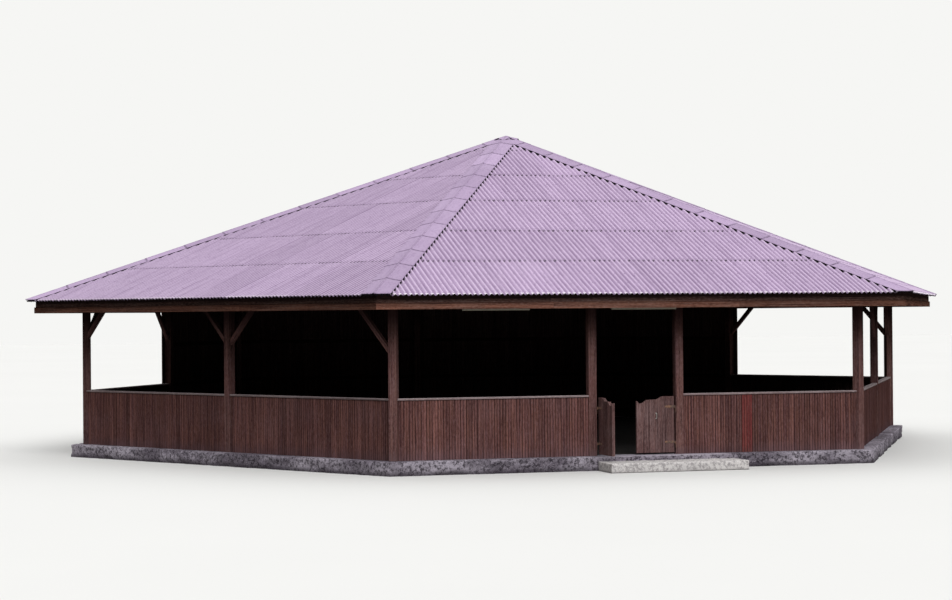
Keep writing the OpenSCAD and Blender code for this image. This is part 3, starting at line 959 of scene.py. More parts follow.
@dataclass
class Plan:
    """Sizes that every sub-assembly shares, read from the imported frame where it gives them."""

    pitch: float = math.radians(21.42)
    wave_h: float = 0.036
    cad_sheet_t: float = 0.005
    fit_gap: float = 0.0003
    floor_z: float = field(init=False)
    a_plinth: float = field(init=False)
    a_wall: float = field(init=False)
    a_eave: float = field(init=False)
    eave_z: float = field(init=False)
    post_w: float = field(init=False)
    beam_low: float = field(init=False)
    door_bays: tuple[Bay, Bay] = field(init=False)

    def __post_init__(self) -> None:
        """Reads the frame's boxes."""
        plinth, doors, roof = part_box("plinth"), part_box("door_posts"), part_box("roof_front")
        self.floor_z = plinth[1].z
        self.a_plinth = -plinth[0].y
        self.a_wall = -doors[0].y
        self.post_w = doors[1].y - doors[0].y
        self.beam_low = doors[1].z
        self.a_eave = -roof[0].y
        self.eave_z = roof[0].z + (self.wave_h + self.cad_sheet_t) / math.cos(self.pitch)
        self.door_bays = ((None, doors[0].x), (doors[1].x, None))

    @property
    def wall_side(self) -> float:
        """Length of a wall, corner to corner."""
        return self.a_wall / COS_HALF

    @property
    def middle_bays(self) -> tuple[Bay, Bay]:
        """The two bays of a wall with a post in its middle."""
        return (None, -self.post_w / 2), (self.post_w / 2, None)

    @property
    def hip_fall(self) -> float:
        """Slope of the hips."""
        return math.atan(math.tan(self.pitch) * COS_HALF)

    @property
    def hip_run(self) -> float:
        """Distance from the peak to a corner of the eaves, on the level."""
        return self.a_eave / COS_HALF

    def roof_z(self, a: float | Array) -> float | Array:
        """Height of the plane of the crests at a distance from the peak, square to the eave."""
        return self.eave_z + (self.a_eave - a) * math.tan(self.pitch)

    def corner_x(self, depth: float) -> float:
        """Distance along a wall to the side of a corner post, at a depth behind the wall's face."""
        return self.wall_side / 2 - (self.post_w / 2 + self.fit_gap + depth * SIN_HALF) / COS_HALF

    def bay_end(self, bay: Bay, end: int, depth: float) -> float:
        """Place along the wall of a bay's left (0) or right (1) end, at a depth."""
        stop = bay[end]
        return (2 * end - 1) * self.corner_x(depth) if stop is None else stop


@dataclass
class Substructure:
    """Rough plinth and worn entrance step."""

    plan: Plan
    cell: float = 0.035
    side_rows: int = 9
    top_rows: tuple[float, ...] = (0.05, 0.085, 0.13, 0.19, 0.27)
    edge_round: float = 0.022
    rough_in: float = 0.2
    lump_size: float = 5.5
    lump_more: float = 0.2
    bites: float = 0.034
    chip_size: float = 19
    chip_depth: float = 0.03
    deepest: float = 0.09
    bite_in: float = 0.03
    bite_past: float = 0.35
    undercut: float = 0.055
    undercut_h: float = 0.09
    hollow_size: float = 1.3
    hollow_more: float = 0.15
    top_wear: Pair = (0.006, 0.012)
    wear_from: float = 0.6
    wear_in: float = 0.06
    wear_past: float = 0.4
    step_round: float = 0.016
    step_cells: tuple[float, float, float] = (0.04, 0.04, 0.035)
    step_wear: Pair = (0.007, 0.012)
    step_lump_size: float = 6
    step_lump_more: float = 0.3
    step_chip_size: float = 17

    def profile(self) -> list[Pair]:
        """Draws the plinth's section, from its foot up and over its top.

        Returns:
            Distances inward and heights.
        """
        top = self.plan.floor_z
        beam = self.plan.a_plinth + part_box("floor_slab")[0].y
        side = [(0.0, top * i / self.side_rows) for i in range(self.side_rows - 1)]
        edge = [(0.0, top - self.edge_round * 0.9), (0.3 * self.edge_round, top - self.edge_round * 0.25)]
        flat = [(d, top) for d in (self.edge_round, *self.top_rows, beam)]
        return side + edge + flat + [(beam, 0.0)]

    def roughened(self, points: Array, across: Array, rows: int) -> Array:
        """Bites into the plinth's outer face, its top edge and its foot.

        Args:
            points: Points of the swept section, ring after ring.
            across: Distance of each point inward from the outer face.
            rows: Number of points in a ring.

        Returns:
            The moved points.
        """
        outward = points / np.maximum(np.linalg.norm(points[:, :2], axis=1), 0.1)[:, None]
        outward[:, 2] = 0
        for i, p in enumerate(points):
            d = across[i]
            if d > self.rough_in or (i % rows) == rows - 1:
                continue
            lump = lumps(Vector(p), self.lump_size, self.lump_more)
            chip = chips(Vector(p), self.chip_size)
            fade = 1 - d / self.rough_in
            foot = max(0.0, 1 - p[2] / self.undercut_h) if d == 0 else 0.0
            level = Vector((*(p[:2] * self.hollow_size), 4.0))
            hollow = max(0.0, noise.noise(level) + self.hollow_more) * foot
            bite = (self.bites * lump + self.chip_depth * chip) * (fade if d else 1.0)
            bite += self.undercut * hollow
            share = 1.0 if d < self.bite_in else self.bite_past * fade
            points[i] -= outward[i] * min(bite, self.deepest) * share
            if p[2] > self.wear_from * self.plan.floor_z:
                worn = self.top_wear[0] * lump + self.top_wear[1] * chip
                points[i, 2] -= fade * worn * (1.0 if d < self.wear_in else self.wear_past)
        return points

    def plinth(self, finish: Material) -> None:
        """Sweeps the section round the six sides and roughens it.

        Args:
            finish: Finish of the concrete.
        """
        section = np.array(self.profile())
        steps = int(2 * self.plan.a_plinth * TAN_HALF / self.cell)
        rings = []
        for side in Side:
            for share in np.linspace(-1, 1, steps, endpoint=False):
                a = self.plan.a_plinth - section[:, 0]
                ring = np.stack([share * a * TAN_HALF, -a, section[:, 1]], 1)
                rings.append(turned(ring, side.turn))
        total, rows = len(rings), len(section)
        points = self.roughened(np.concatenate(rings), np.tile(section[:, 0], total), rows)
        index = np.arange(total * rows).reshape(total, rows)
        ahead = np.roll(index, -1, 0)
        quads = np.stack([index[:, :-1], ahead[:, :-1], ahead[:, 1:], index[:, 1:]], -1).reshape(-1, 4)
        foot_ring = np.stack([index[:, -1], ahead[:, -1], ahead[:, 0], index[:, 0]], -1)
        faces = [tuple(q) for q in np.concatenate([quads, foot_ring]).tolist()]
        piece = Piece("plinth_edge", 3)
        piece.add(Solid(points, faces, points, [0] * len(faces)), 0.0, False)
        piece.make("concrete", ["plinth"], [finish], smooth=True)

    def step(self, finish: Material) -> None:
        """Makes the worn entrance slab as a fine box with rounded, chipped edges.

        Args:
            finish: Finish of the concrete.
        """
        low, high = (np.array(c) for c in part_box("entrance_step"))
        r = self.step_round
        lines = []
        for axis, cell in enumerate(self.step_cells):
            count = max(2, int((high[axis] - low[axis]) / cell))
            inner = np.linspace(low[axis] + r, high[axis] - r, count)
            rounded = [low[axis], low[axis] + 0.4 * r]
            lines.append(np.concatenate([rounded, inner, [high[axis] - 0.4 * r, high[axis]]]))
        points, faces = box_grid(lines)
        core = np.clip(points, low + r, high - r)
        out = points - core
        length = np.linalg.norm(out, axis=1)[:, None]
        points = np.where(length > 0, core + out / np.maximum(length, 1e-9) * r, points)
        for i, p in enumerate(points):
            wear = self.step_wear[0] * lumps(Vector(p), self.step_lump_size, self.step_lump_more)
            wear += self.step_wear[1] * chips(Vector(p), self.step_chip_size)
            points[i] -= out[i] / max(float(np.linalg.norm(out[i])), 1e-9) * wear
        points[:, 2] = np.maximum(points[:, 2], 0.0)
        piece = Piece("entrance_slab", 4)
        piece.add(Solid(points, faces, points, [0] * len(faces)), 0.0, False)
        piece.make("concrete", ["entrance_step"], [finish], smooth=True)


class BoardFace(IntEnum):
    """Faces of a wall board, numbered in the order of the boards' finishes."""

    OUTER = 0
    INNER = 1
    NEWER = 2
    GROOVE = 3


@dataclass
class Walls:
    """Posts, boarded parapets and back walls, rails and knee braces."""

    plan: Plan
    pitch: float = 0.104
    groove: float = 0.0055
    groove_depth: float = 0.010
    joint: float = 0.0006
    bead: float = 0.004
    board_bevel: float = 0.002
    lifted: Pair = (0.0003, 0.0008)
    uneven: float = 0.0012
    newer_out: float = 0.002
    post_bevel: float = 0.007
    post_end_bevel: float = 0.003
    rail_bevel: float = 0.006
    rail_over: float = 0.06
    brace_reach: float = 0.85
    brace_short: float = 0.7
    brace_long: float = 1.0
    brace_w: float = 0.08
    brace_bevel: float = 0.004
    brace_sunk: float = 0.024
    cover_out: float = 0.1
    cover_up: float = 0.003
    new_boards: tuple[int, int] = (11, 12)
    mid_tone: float = -1.1
    door_tone: float = -0.2
    # Tones of the boards per bay; the darker left bays are painted shade.
    bay_tones: dict[str, float] = field(default_factory=lambda: {
        "parapet_left_rear": -0.7, "parapet_left_front": -0.3, "parapet_front_left": 0.4,
        "parapet_right_front": -0.4, "parapet_right_rear": -0.4})
    corner_tones: dict[Side, float] = field(default_factory=lambda: {Side.FAR_LEFT: -1.8})
    # Tones of the rails; the dark left one is painted shade.
    rail_tones: dict[Side, float] = field(default_factory=lambda: {
        Side.FRONT: -0.7, Side.LEFT: -2.2, Side.RIGHT: -1.4})
    depth: Pair = field(init=False)
    rail_z: Pair = field(init=False)
    rail_depth: Pair = field(init=False)
    low_bays: list[tuple[Side, Bay]] = field(init=False, default_factory=list)

    def __post_init__(self) -> None:
        """Reads the boards' and rails' depths and heights from the frame."""
        board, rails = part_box("parapet_front_left"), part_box("parapet_rails")
        self.depth = (board[0].y + self.plan.a_wall, board[1].y + self.plan.a_wall)
        self.rail_z = (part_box("parapet_front_right")[1].z, rails[1].z)
        self.rail_depth = (rails[0].y + self.plan.a_wall, self.depth[1] + self.rail_over)

    def post(self, degrees: float, x: float, y: float) -> Solid:
        """A post with bevelled edges.

        Args:
            degrees: Turn of the wall or corner that it belongs to.
            x: Left side of the post, before the turn.
            y: Outer side of the post, before the turn.

        Returns:
            The post.
        """
        w, c = self.plan.post_w, self.post_bevel
        ring = [(c, 0), (w - c, 0), (w, c), (w, w - c), (w - c, w), (c, w), (0, w - c), (0, c)]
        height = self.plan.beam_low - self.plan.floor_z
        solid = plank(ring, height, self.post_end_bevel, (x, y, self.plan.floor_z), ALONG, INWARD, UP)
        return solid.turned(degrees)

    def posts(self, finish: Material) -> None:
        """Makes the corner posts, the middle posts and the door posts.

        Args:
            finish: Finish of the posts.
        """
        w, a_wall = self.plan.post_w, self.plan.a_wall
        corners = Piece("corner_post_timber", 11)
        middles = Piece("mid_post_timber", 12)
        doors = Piece("door_post_timber", 13)
        for side in Side:
            corners.add(self.post(side.turn + 30, -w / 2, -self.plan.wall_side), self.corner_tones.get(side))
            if side is not Side.FRONT:
                middles.add(self.post(side.turn, -w / 2, -a_wall), self.mid_tone)
        left, right = self.plan.door_bays
        doors.add(self.post(0, left[1], -a_wall), self.door_tone)
        doors.add(self.post(0, right[0] - w, -a_wall), self.door_tone)
        corners.make("post_timber", ["corner_posts"], [finish])
        middles.make("post_timber", ["mid_posts"], [finish])
        doors.make("post_timber", ["door_posts"], [finish])

    def board(self, left: Callable[[float], float], right: Callable[[float], float], z0: float, z1: float,
              shift: float, outer: BoardFace) -> Solid:
        """An upright board with grooved edges and a groove down its middle.

        Args:
            left: Place of its left edge at a depth behind the wall's face.
            right: Place of its right edge at a depth.
            z0: Height of its foot.
            z1: Height of its top.
            shift: How far it stands out from its row.
            outer: Finish of its outer side.

        Returns:
            The board, on the front wall.
        """
        d0, d1 = self.depth[0] - shift, self.depth[1] - shift
        c, b, deep = self.groove, self.bead, self.groove_depth
        middle = (left(d0) + right(d0)) / 2
        ring = [(left(d0) + c, d0), (middle - b, d0), (middle, d0 + b), (middle + b, d0),
                (right(d0) - c, d0), (right(d0 + deep), d0 + deep), (right(d1 - c), d1 - c),
                (right(d1) - c, d1), (left(d1) + c, d1), (left(d1 - c), d1 - c),
                (left(d0 + deep), d0 + deep)]
        inner, groove = BoardFace.INNER, BoardFace.GROOVE
        kinds = [outer, groove, groove, outer, groove, outer, inner, inner, inner, outer, groove]
        foot = (0, -self.plan.a_wall, z0)
        return plank(ring, z1 - z0, self.board_bevel, foot, ALONG, INWARD, UP, kinds)

    def boarding(self, name: str, node: str, side: Side, bay: Bay, top: float, finishes: Finishes,
                 seed: int) -> None:
        """Fills a bay with upright boards.

        Args:
            name: Name of the piece.
            node: CAD node that it stands for.
            side: The wall.
            bay: The bay's ends.
            top: Height of the boards' tops.
            finishes: Outer, inner and newer finish, and that of the grooves.
            seed: Start of its random numbers.
        """
        piece = Piece(name, seed)
        first, last = self.plan.bay_end(bay, 0, self.depth[0]), self.plan.bay_end(bay, 1, self.depth[0])
        count = round((last - first) / self.pitch)
        pitch = (last - first) / count
        for i in range(count):
            start, stop = first + i * pitch + self.joint / 2, first + (i + 1) * pitch - self.joint / 2

            def left(d: float, x: float = start, end: bool = i == 0) -> float:
                """Left edge at a depth, along the post in the first board."""
                return self.plan.bay_end(bay, 0, d) + self.joint / 2 if end else x

            def right(d: float, x: float = stop, end: bool = i == count - 1) -> float:
                """Right edge at a depth, along the post in the last board."""
                return self.plan.bay_end(bay, 1, d) - self.joint / 2 if end else x

            newer = node == "parapet_front_right" and i in self.new_boards
            foot = self.plan.floor_z + piece.random.uniform(*self.lifted)
            shift = piece.random.uniform(-self.uneven, self.uneven) + (self.newer_out if newer else 0.0)
            tone = self.bay_tones.get(node, 0.0) + piece.any_tone()
            outer = BoardFace.NEWER if newer else BoardFace.OUTER
            board = self.board(left, right, foot, top, shift, outer)
            piece.add(board.turned(side.turn), tone)
        if top > self.rail_z[1] and side is not Side.BACK:
            self.post_cover(piece, side, top)
        piece.make("board_timber", [node], finishes)

    def post_cover(self, piece: Piece, side: Side, top: float) -> None:
        """Adds the two boards over a far middle post, which run past it into the open bay.

        Args:
            piece: Piece that takes them.
            side: The wall.
            top: Height of the boards' tops.
        """
        way = 1 if side is Side.FAR_LEFT else -1
        ends = np.linspace(-way * self.plan.post_w / 2, way * (self.plan.post_w / 2 + self.cover_out), 3)
        foot, out = self.plan.floor_z + self.cover_up, self.depth[1] + self.plan.fit_gap
        for one, two in zip(ends[:-1], ends[1:]):
            low, high = min(one, two) + self.joint / 2, max(one, two) - self.joint / 2
            board = self.board(lambda d: low, lambda d: high, foot, top, out, BoardFace.OUTER)
            piece.add(board.turned(side.turn))

    def all_boards(self, finishes: Finishes) -> None:
        """Boards every bay: low ones round the front, full height at the back.

        Args:
            finishes: Outer, inner and newer finish, and that of the grooves.
        """
        near, far = self.plan.middle_bays
        door_left, door_right = self.plan.door_bays
        low = [("parapet_left_rear", Side.LEFT, near), ("parapet_left_front", Side.LEFT, far),
               ("parapet_front_left", Side.FRONT, door_left), ("parapet_front_right", Side.FRONT, door_right),
               ("parapet_right_front", Side.RIGHT, near), ("parapet_right_rear", Side.RIGHT, far),
               ("parapet_far_right", Side.FAR_RIGHT, near), ("parapet_far_left", Side.FAR_LEFT, far)]
        tall = [("back_wall_right", Side.FAR_RIGHT, far), ("back_wall_mid_right", Side.BACK, near),
                ("back_wall_mid_left", Side.BACK, far), ("back_wall_left", Side.FAR_LEFT, near)]
        for seed, (node, side, bay) in enumerate(low + tall):
            top = self.rail_z[0] if (node, side, bay) in low else self.plan.beam_low
            self.boarding(f"{node}_boards", node, side, bay, top, finishes, 20 + seed)
        self.low_bays = [(side, bay) for _, side, bay in low]

    def rails(self, finish: Material) -> None:
        """Makes the top rail of each parapet.

        Args:
            finish: Finish of the rails.
        """
        piece = Piece("parapet_rail_timber", 40)
        d0, d1 = self.rail_depth
        for side, bay in self.low_bays:
            ends = [(self.plan.bay_end(bay, e, d), d) for e, d in ((0, d0), (1, d0), (1, d1), (0, d1))]
            rail = plank(ends, self.rail_z[1] - self.rail_z[0], self.rail_bevel,
                         (0, -self.plan.a_wall, self.rail_z[0]), ALONG, INWARD, ALONG)
            piece.add(rail.turned(side.turn), self.rail_tones.get(side))
        piece.make("rail_timber", ["parapet_rails"], [finish])

    def braces(self, finish: Material) -> None:
        """Makes the knee braces between the posts and the ring beam.

        Args:
            finish: Finish of the braces.
        """
        piece = Piece("knee_brace_timber", 41)
        foot, sunk = self.brace_w * math.sqrt(2), self.brace_sunk
        corner = self.plan.corner_x(self.plan.post_w / 2)
        middle = self.plan.post_w / 2
        reach, short, long = self.brace_reach, self.brace_short, self.brace_long
        middles = [(-middle, -1, reach), (middle, 1, reach)]
        places = {Side.LEFT: [(-corner, 1, short), *middles, (corner, -1, long)],
                  Side.RIGHT: [(-corner, 1, reach), *middles, (corner, -1, reach)],
                  Side.FAR_RIGHT: [(-corner, 1, reach), middles[0]],
                  Side.FAR_LEFT: [middles[1], (corner, -1, short)]}
        for side, ends in places.items():
            for x, way, run in ends:
                ring = [(-sunk, -run - sunk), (run, 0), (run - foot, 0), (-sunk, foot - run - sunk)]
                y = (self.brace_w + self.plan.post_w) / 2 - self.plan.a_wall
                solid = plank(ring, self.brace_w, self.brace_bevel, (0, 0, 0), ALONG, UP, (1, 0, 1))
                matrix = np.diag([way, 1.0, 1.0, 1.0])
                matrix[:3, 3] = x, y, self.plan.beam_low
                piece.add(solid.moved(matrix).turned(side.turn))
        piece.make("post_timber", ["knee_braces"], [finish])


@dataclass
class Roof:
    """Lapped wave sheets on six faces, hip caps, peak cap, nails and eaves."""

    plan: Plan
    wave: float = 0.095
    steps: int = 8
    waves: int = 10
    sheet_t: float = 0.0035
    laps: tuple[float, ...] = (0.0, 1.70, 3.35, 5.13, 6.74, 8.45)
    overlap: float = 0.16
    side_rise: float = 0.004
    lap_rise: float = 0.006
    sink: float = 0.002
    hip_gap: float = 0.015
    corner_cut: float = 0.01
    lean_low: Pair = (-0.003, -0.003)
    lean_high: Pair = (0.004, 0.003)
    row_gap: float = 0.46
    nail_in: float = 0.05
    nail_clear: float = 0.62
    nail_r: float = 0.011
    nail_h: float = 0.007
    nail_sunk: float = 0.0005
    nail_tone: float = 0.6
    cap_w: float = 0.26
    cap_l: float = 1.0
    cap_show: float = 0.84
    cap_nose: float = 0.012
    cap_lift: float = 0.009
    cap_tilt: float = 0.005
    cap_nails: Pair = (0.08, 0.45)
    cap_nail_h: float = 0.008
    cap_nail_up: float = 0.003
    cap_nail_tone: float = 0.5
    cap_nails_from: float = 0.3
    cap_end: float = 0.02
    roll_w: float = 0.034
    roll_h: float = 0.012
    lip_w: float = 0.012
    lip_drop: float = 0.004
    peak_lift: float = 0.016
    tip_drop: float = 0.012
    tip_r: float = 0.03
    rim_drop: float = 0.006
    peak_tone: float = 0.3
    fascia_t: float = 0.025
    eave_board_t: float = 0.030
    eave_cuts: Pair = (-1.7, 1.6)
    cut_shift: float = 0.3
    eave_drop: Pair = (-0.003, 0.002)
    eave_out: Pair = (-0.002, 0.0)
    eave_bevel: float = 0.003
    mitre_gap: float = 0.001
    butt: float = 0.002
    # Tone of whole faces: the left face is darkened as painted shade.
    face_shade: dict[Side, float] = field(default_factory=lambda: {Side.LEFT: -3.1})
    cleaner_up: float = 1.2
    # Tones of the eave boards: the dark left one is painted shade.
    eave_shade_tones: dict[Side, float] = field(default_factory=lambda: {Side.LEFT: -1.9})

    @property
    def slant(self) -> float:
        """Length of a face from its eave to the peak, along the slope."""
        return self.plan.a_eave / math.cos(self.plan.pitch)

    def place(self, u: Array, v: Array, w: Array) -> Array:
        """Points on the front face.

        Args:
            u: Places along the eave.
            v: Distances up the slope.
            w: Heights above the plane of the crests.

        Returns:
            The points, one a row.
        """
        c, s = math.cos(self.plan.pitch), math.sin(self.plan.pitch)
        return np.stack([u, -self.plan.a_eave + v * c - w * s, self.plan.eave_z + v * s + w * c], -1)

    def wave_z(self, u: Array) -> Array:
        """Height of the wave, counted from the plane of the crests."""
        return (np.cos(2 * math.pi * u / self.wave) - 1) * self.plan.wave_h / 2

    def reach(self, u: Array) -> Array:
        """Distance up the slope at which a line along it meets the hip, at a place along the eave."""
        a = (np.abs(u) + self.hip_gap / COS_HALF) / TAN_HALF
        return (self.plan.a_eave - a) / math.cos(self.plan.pitch)

    def sheet(self, u0: float, v0: float, length: float, lean: Numbers) -> tuple[Solid | None, Callable]:
        """One wave sheet, cut along the hips.

        Args:
            u0: Its left edge.
            v0: Its lower edge.
            length: Its length up the slope.
            lean: Small shifts of its lower edge and its middle.

        Returns:
            The sheet, or None where the hips leave nothing of it, and its height as a function.
        """
        width = self.waves * self.wave

        def height(u: Array, v: Array) -> Array:
            """Height of its upper side above the plane of the crests."""
            tilt = self.side_rise * (u - u0) / width + self.lap_rise * (1 - (v - v0) / length)
            return self.wave_z(u) + tilt - self.sink + lean[1] * np.sin(math.pi * (v - v0) / length)

        u = u0 + np.arange(self.waves * self.steps + 1) * self.wave / self.steps
        low = v0 + lean[0]
        out = self.plan.a_eave - (low + self.corner_cut) * math.cos(self.plan.pitch)
        edge = out * TAN_HALF - self.hip_gap / COS_HALF
        u = np.unique(np.clip(u, -edge, edge)) if edge > 0 else u[:0]
        if len(u) < 3:
            return None, height
        top = np.minimum(v0 + length, self.reach(u))
        share = np.linspace(0, 1, 4)[:, None]
        v = low + share * (top - low)[None, :]
        uu = np.broadcast_to(u, v.shape)
        w = height(uu, v)
        marks = np.stack([uu, self.wave_z(uu), v - low], -1)
        return shell(self.place(uu, v, w), self.place(uu, v, w - self.sheet_t), marks), height

    def face(self, side: Side, finishes: Finishes) -> None:
        """Lays the courses of one face and nails them.

        Args:
            side: The face.
            finishes: Finishes of the sheets' upper side and underside.
        """
        name = f"roof_{side.name.lower()}"
        piece, nails = Piece(f"{name}_sheets", 60 + side.value), Piece(f"{name}_nails", 70 + side.value)
        cover = (self.waves - 1) * self.wave
        for course, v0 in enumerate(self.laps):
            after = self.laps[course + 1] if course + 1 < len(self.laps) else self.slant
            length = min(after + self.overlap, self.slant) - v0
            half = (self.plan.a_eave - v0 * math.cos(self.plan.pitch)) * TAN_HALF
            start = (5 * (course % 2) + 2 * side.value + 0.5) * self.wave
            first = math.floor((-half - start) / cover)
            last = math.ceil((half - start) / cover)
            for k in range(first, last + 1):
                lean = piece.random.uniform(self.lean_low, self.lean_high)
                u0 = start + k * cover
                solid, height = self.sheet(u0, v0, length, lean)
                if solid is None:
                    continue
                # Painted shade of the face, plus a tone rising towards the peak.
                tone = self.face_shade.get(side, 0.0) + self.cleaner_up * (v0 / self.slant) ** 2
                piece.add(solid.turned(side.turn), tone + piece.any_tone(), False)
                self.nail(nails, side, u0, v0, after, height)
        piece.make("roof_sheet", [name], finishes, smooth=True)
        nails.make("roof_sheet", [], finishes[:1], smooth=True)

    def nail(self, nails: Piece, side: Side, u0: float, v0: float, after: float,
             height: Callable) -> None:
        """Nails a sheet through its crests.

        Args:
            nails: Piece that takes the nails.
            side: The face.
            u0: The sheet's left edge.
            v0: Its lower edge.
            after: Lower edge of the course above.
            height: Height of its upper side.
        """
        c, s = math.cos(self.plan.pitch), math.sin(self.plan.pitch)
        way = np.array([0, -s, c])
        rows = [v0 + self.nail_in + i * self.row_gap for i in range(6)]
        for row, v in enumerate(rows):
            if v >= after - self.nail_in:
                continue
            for crest in range(self.waves - 1):
                if row and (crest + row) % 2:
                    continue
                u = u0 + (crest + 0.5) * self.wave
                if v > self.reach(np.array(u)) - self.nail_clear:
                    continue
                at = self.place(np.array(u), np.array(v), height(u, v) - self.nail_sunk)
                head = dome(at, way, self.nail_r, self.nail_h)
                nails.add(head.turned(side.turn), self.nail_tone, False)

    def hip_cap(self, corner: float, index: int, nails: Piece) -> Solid:
        """One folded cap piece on a hip.

        Args:
            corner: Angle of the hip.
            index: Its number, counted up from the eave.
            nails: Piece that takes its nails.

        Returns:
            The cap piece.
        """
        plan, wing, roll = self.plan, self.cap_w, self.roll_w
        half = [0, roll / 3, 2 * roll / 3, roll, 0.4 * wing, 0.7 * wing, wing - self.lip_w, wing]
        x = np.array([-h for h in half[:0:-1]] + half)
        low = plan.hip_run - index * self.cap_show * math.cos(plan.hip_fall)
        high = max(low - self.cap_l * math.cos(plan.hip_fall), self.cap_end)
        ends = np.full(len(x), low)
        if index == 0:
            ends = (plan.a_eave + self.cap_nose - np.abs(x) * SIN_HALF) / COS_HALF
        share = np.linspace(0, 1, 4)[:, None]
        r = ends[None, :] + share * (high - ends)[None, :]
        xx = np.broadcast_to(x, r.shape)
        a = r * COS_HALF + np.abs(xx) * SIN_HALF
        bump = self.roll_h * 0.5 * (1 + np.cos(math.pi * np.clip(np.abs(xx) / roll, 0, 1)))
        lip = self.lip_drop * np.clip((np.abs(xx) - (wing - self.lip_w)) / self.lip_w, 0, 1)
        lift = self.cap_lift + self.sheet_t + self.cap_tilt * (1 - share) + bump - lip
        top = np.stack([xx, -r, plan.roof_z(a) + lift], -1)
        bottom = top - [0, 0, self.sheet_t]
        marks = np.stack([xx, np.zeros_like(r), (ends[None, :] - r)], -1)
        if index:
            self.nail_cap(corner, low, nails)
        return shell(top, bottom, marks).turned(corner)

    def nail_cap(self, corner: float, low: float, nails: Piece) -> None:
        """Nails a cap piece down along both its edges.

        Args:
            corner: Angle of the hip.
            low: Distance of the piece's lower end from the peak.
            nails: Piece that takes the nails.
        """
        x = self.cap_w - self.nail_in
        for up in self.cap_nails:
            r = low - up
            a = r * COS_HALF + x * SIN_HALF
            z = self.plan.roof_z(a) + self.cap_lift + self.sheet_t + self.cap_nail_up
            if r > self.cap_nails_from:
                for sign in (-1, 1):
                    head = dome(np.array([sign * x, -r, z]), UP, self.nail_r, self.cap_nail_h)
                    nails.add(head.turned(corner), self.cap_nail_tone, False)

    def caps(self, finishes: Finishes) -> None:
        """Makes the hip caps, lapped up each hip, and the peak cap.

        Args:
            finishes: Finishes of the caps' upper side and underside.
        """
        piece, nails = Piece("hip_cap_pieces", 80), Piece("hip_cap_nails", 81)
        count = math.ceil(self.plan.hip_run / (self.cap_show * math.cos(self.plan.hip_fall)))
        for side in Side:
            for index in range(count):
                piece.add(self.hip_cap(side.turn + 30, index, nails), None, False)
        piece.make("roof_cap", ["hip_caps"], finishes, smooth=True)
        nails.make("roof_cap", [], finishes[:1], smooth=True)
        self.peak(finishes)

    def peak(self, finishes: Finishes) -> None:
        """Makes the six-sided cap over the peak, rounded at its tip.

        Args:
            finishes: Finishes of the upper side and underside.
        """
        share = np.linspace(0, 1, 7)
        a = -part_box("peak_cap")[0].y * share
        rounding = self.tip_drop * np.exp(-(a / self.tip_r) ** 2)
        z = self.plan.roof_z(a) + self.peak_lift - rounding - self.rim_drop * share ** 6
        rings = []
        for side in Side:
            for along in (-1.0, -0.5, 0.0, 0.5):
                x = along * a * TAN_HALF
                rings.append(turned(np.stack([x, -a, z], 1), side.turn))
        top = np.array(rings)[:, 1:]
        tip = np.array(rings)[0, 0]
        total, rows = top.shape[:2]
        grid = top.reshape(-1, 3)
        points = np.concatenate([grid, [tip], grid - [0, 0, self.sheet_t], [tip - [0, 0, self.sheet_t]]])
        size = total * rows + 1
        index = np.arange(total * rows).reshape(total, rows)
        ahead = np.roll(index, -1, 0)
        quads = np.stack([index[:, :-1], index[:, 1:], ahead[:, 1:], ahead[:, :-1]], -1).reshape(-1, 4)
        rim = np.stack([index[:, -1], index[:, -1] + size, ahead[:, -1] + size, ahead[:, -1]], -1)
        faces = [tuple(q) for q in np.concatenate([quads, quads[:, ::-1] + size, rim]).tolist()]
        kinds = [0] * len(quads) + [1] * len(quads) + [0] * len(rim)
        for i, j in zip(index[:, 0].tolist(), ahead[:, 0].tolist()):
            faces += [(size - 1, i, j), (2 * size - 1, j + size, i + size)]
            kinds += [0, 1]
        piece = Piece("peak_cap_sheet", 82)
        piece.add(Solid(points, faces, points * [1, 0, 1], kinds), self.peak_tone, False)
        piece.make("roof_cap", ["peak_cap"], finishes, smooth=True)

    def eaves(self, fascia: Material, behind: Material) -> None:
        """Makes the fascia boards and the eave boards behind them, butted along each side.

        Args:
            fascia: Finish of the fascia.
            behind: Finish of the boards behind it.
        """
        for name, node, finish, slot, thick, seed in (
                ("fascia_timber_boards", "fascia_boards", fascia, "fascia_timber", self.fascia_t, 90),
                ("eave_timber_boards", "eave_boards", behind, "frame_timber", self.eave_board_t, 91)):
            low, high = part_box(node)
            outer, piece = -low.y, Piece(name, seed)
            mitre, butt = thick * TAN_HALF, self.butt
            ends = outer * TAN_HALF - self.mitre_gap / COS_HALF
            for side in Side:
                shifts = piece.random.uniform(-self.cut_shift, self.cut_shift, 2)
                cuts = [-ends, *(shifts + self.eave_cuts), ends]
                for i, (x0, x1) in enumerate(zip(cuts[:-1], cuts[1:])):
                    front = x0 + (0 if i == 0 else butt), x1 - (0 if i == 2 else butt)
                    back = x0 + (mitre if i == 0 else butt), x1 - (mitre if i == 2 else butt)
                    drop = piece.random.uniform(*self.eave_drop)
                    out = piece.random.uniform(*self.eave_out)
                    ring = [(front[0], 0), (front[1], 0), (back[1], thick), (back[0], thick)]
                    foot = (0, -outer - out, low.z + butt + drop)
                    tall = high.z - low.z - 2 * butt
                    board = plank(ring, tall, self.eave_bevel, foot, ALONG, INWARD, ALONG)
                    piece.add(board.turned(side.turn), self.eave_shade_tones.get(side))
            piece.make(slot, [node], [finish])


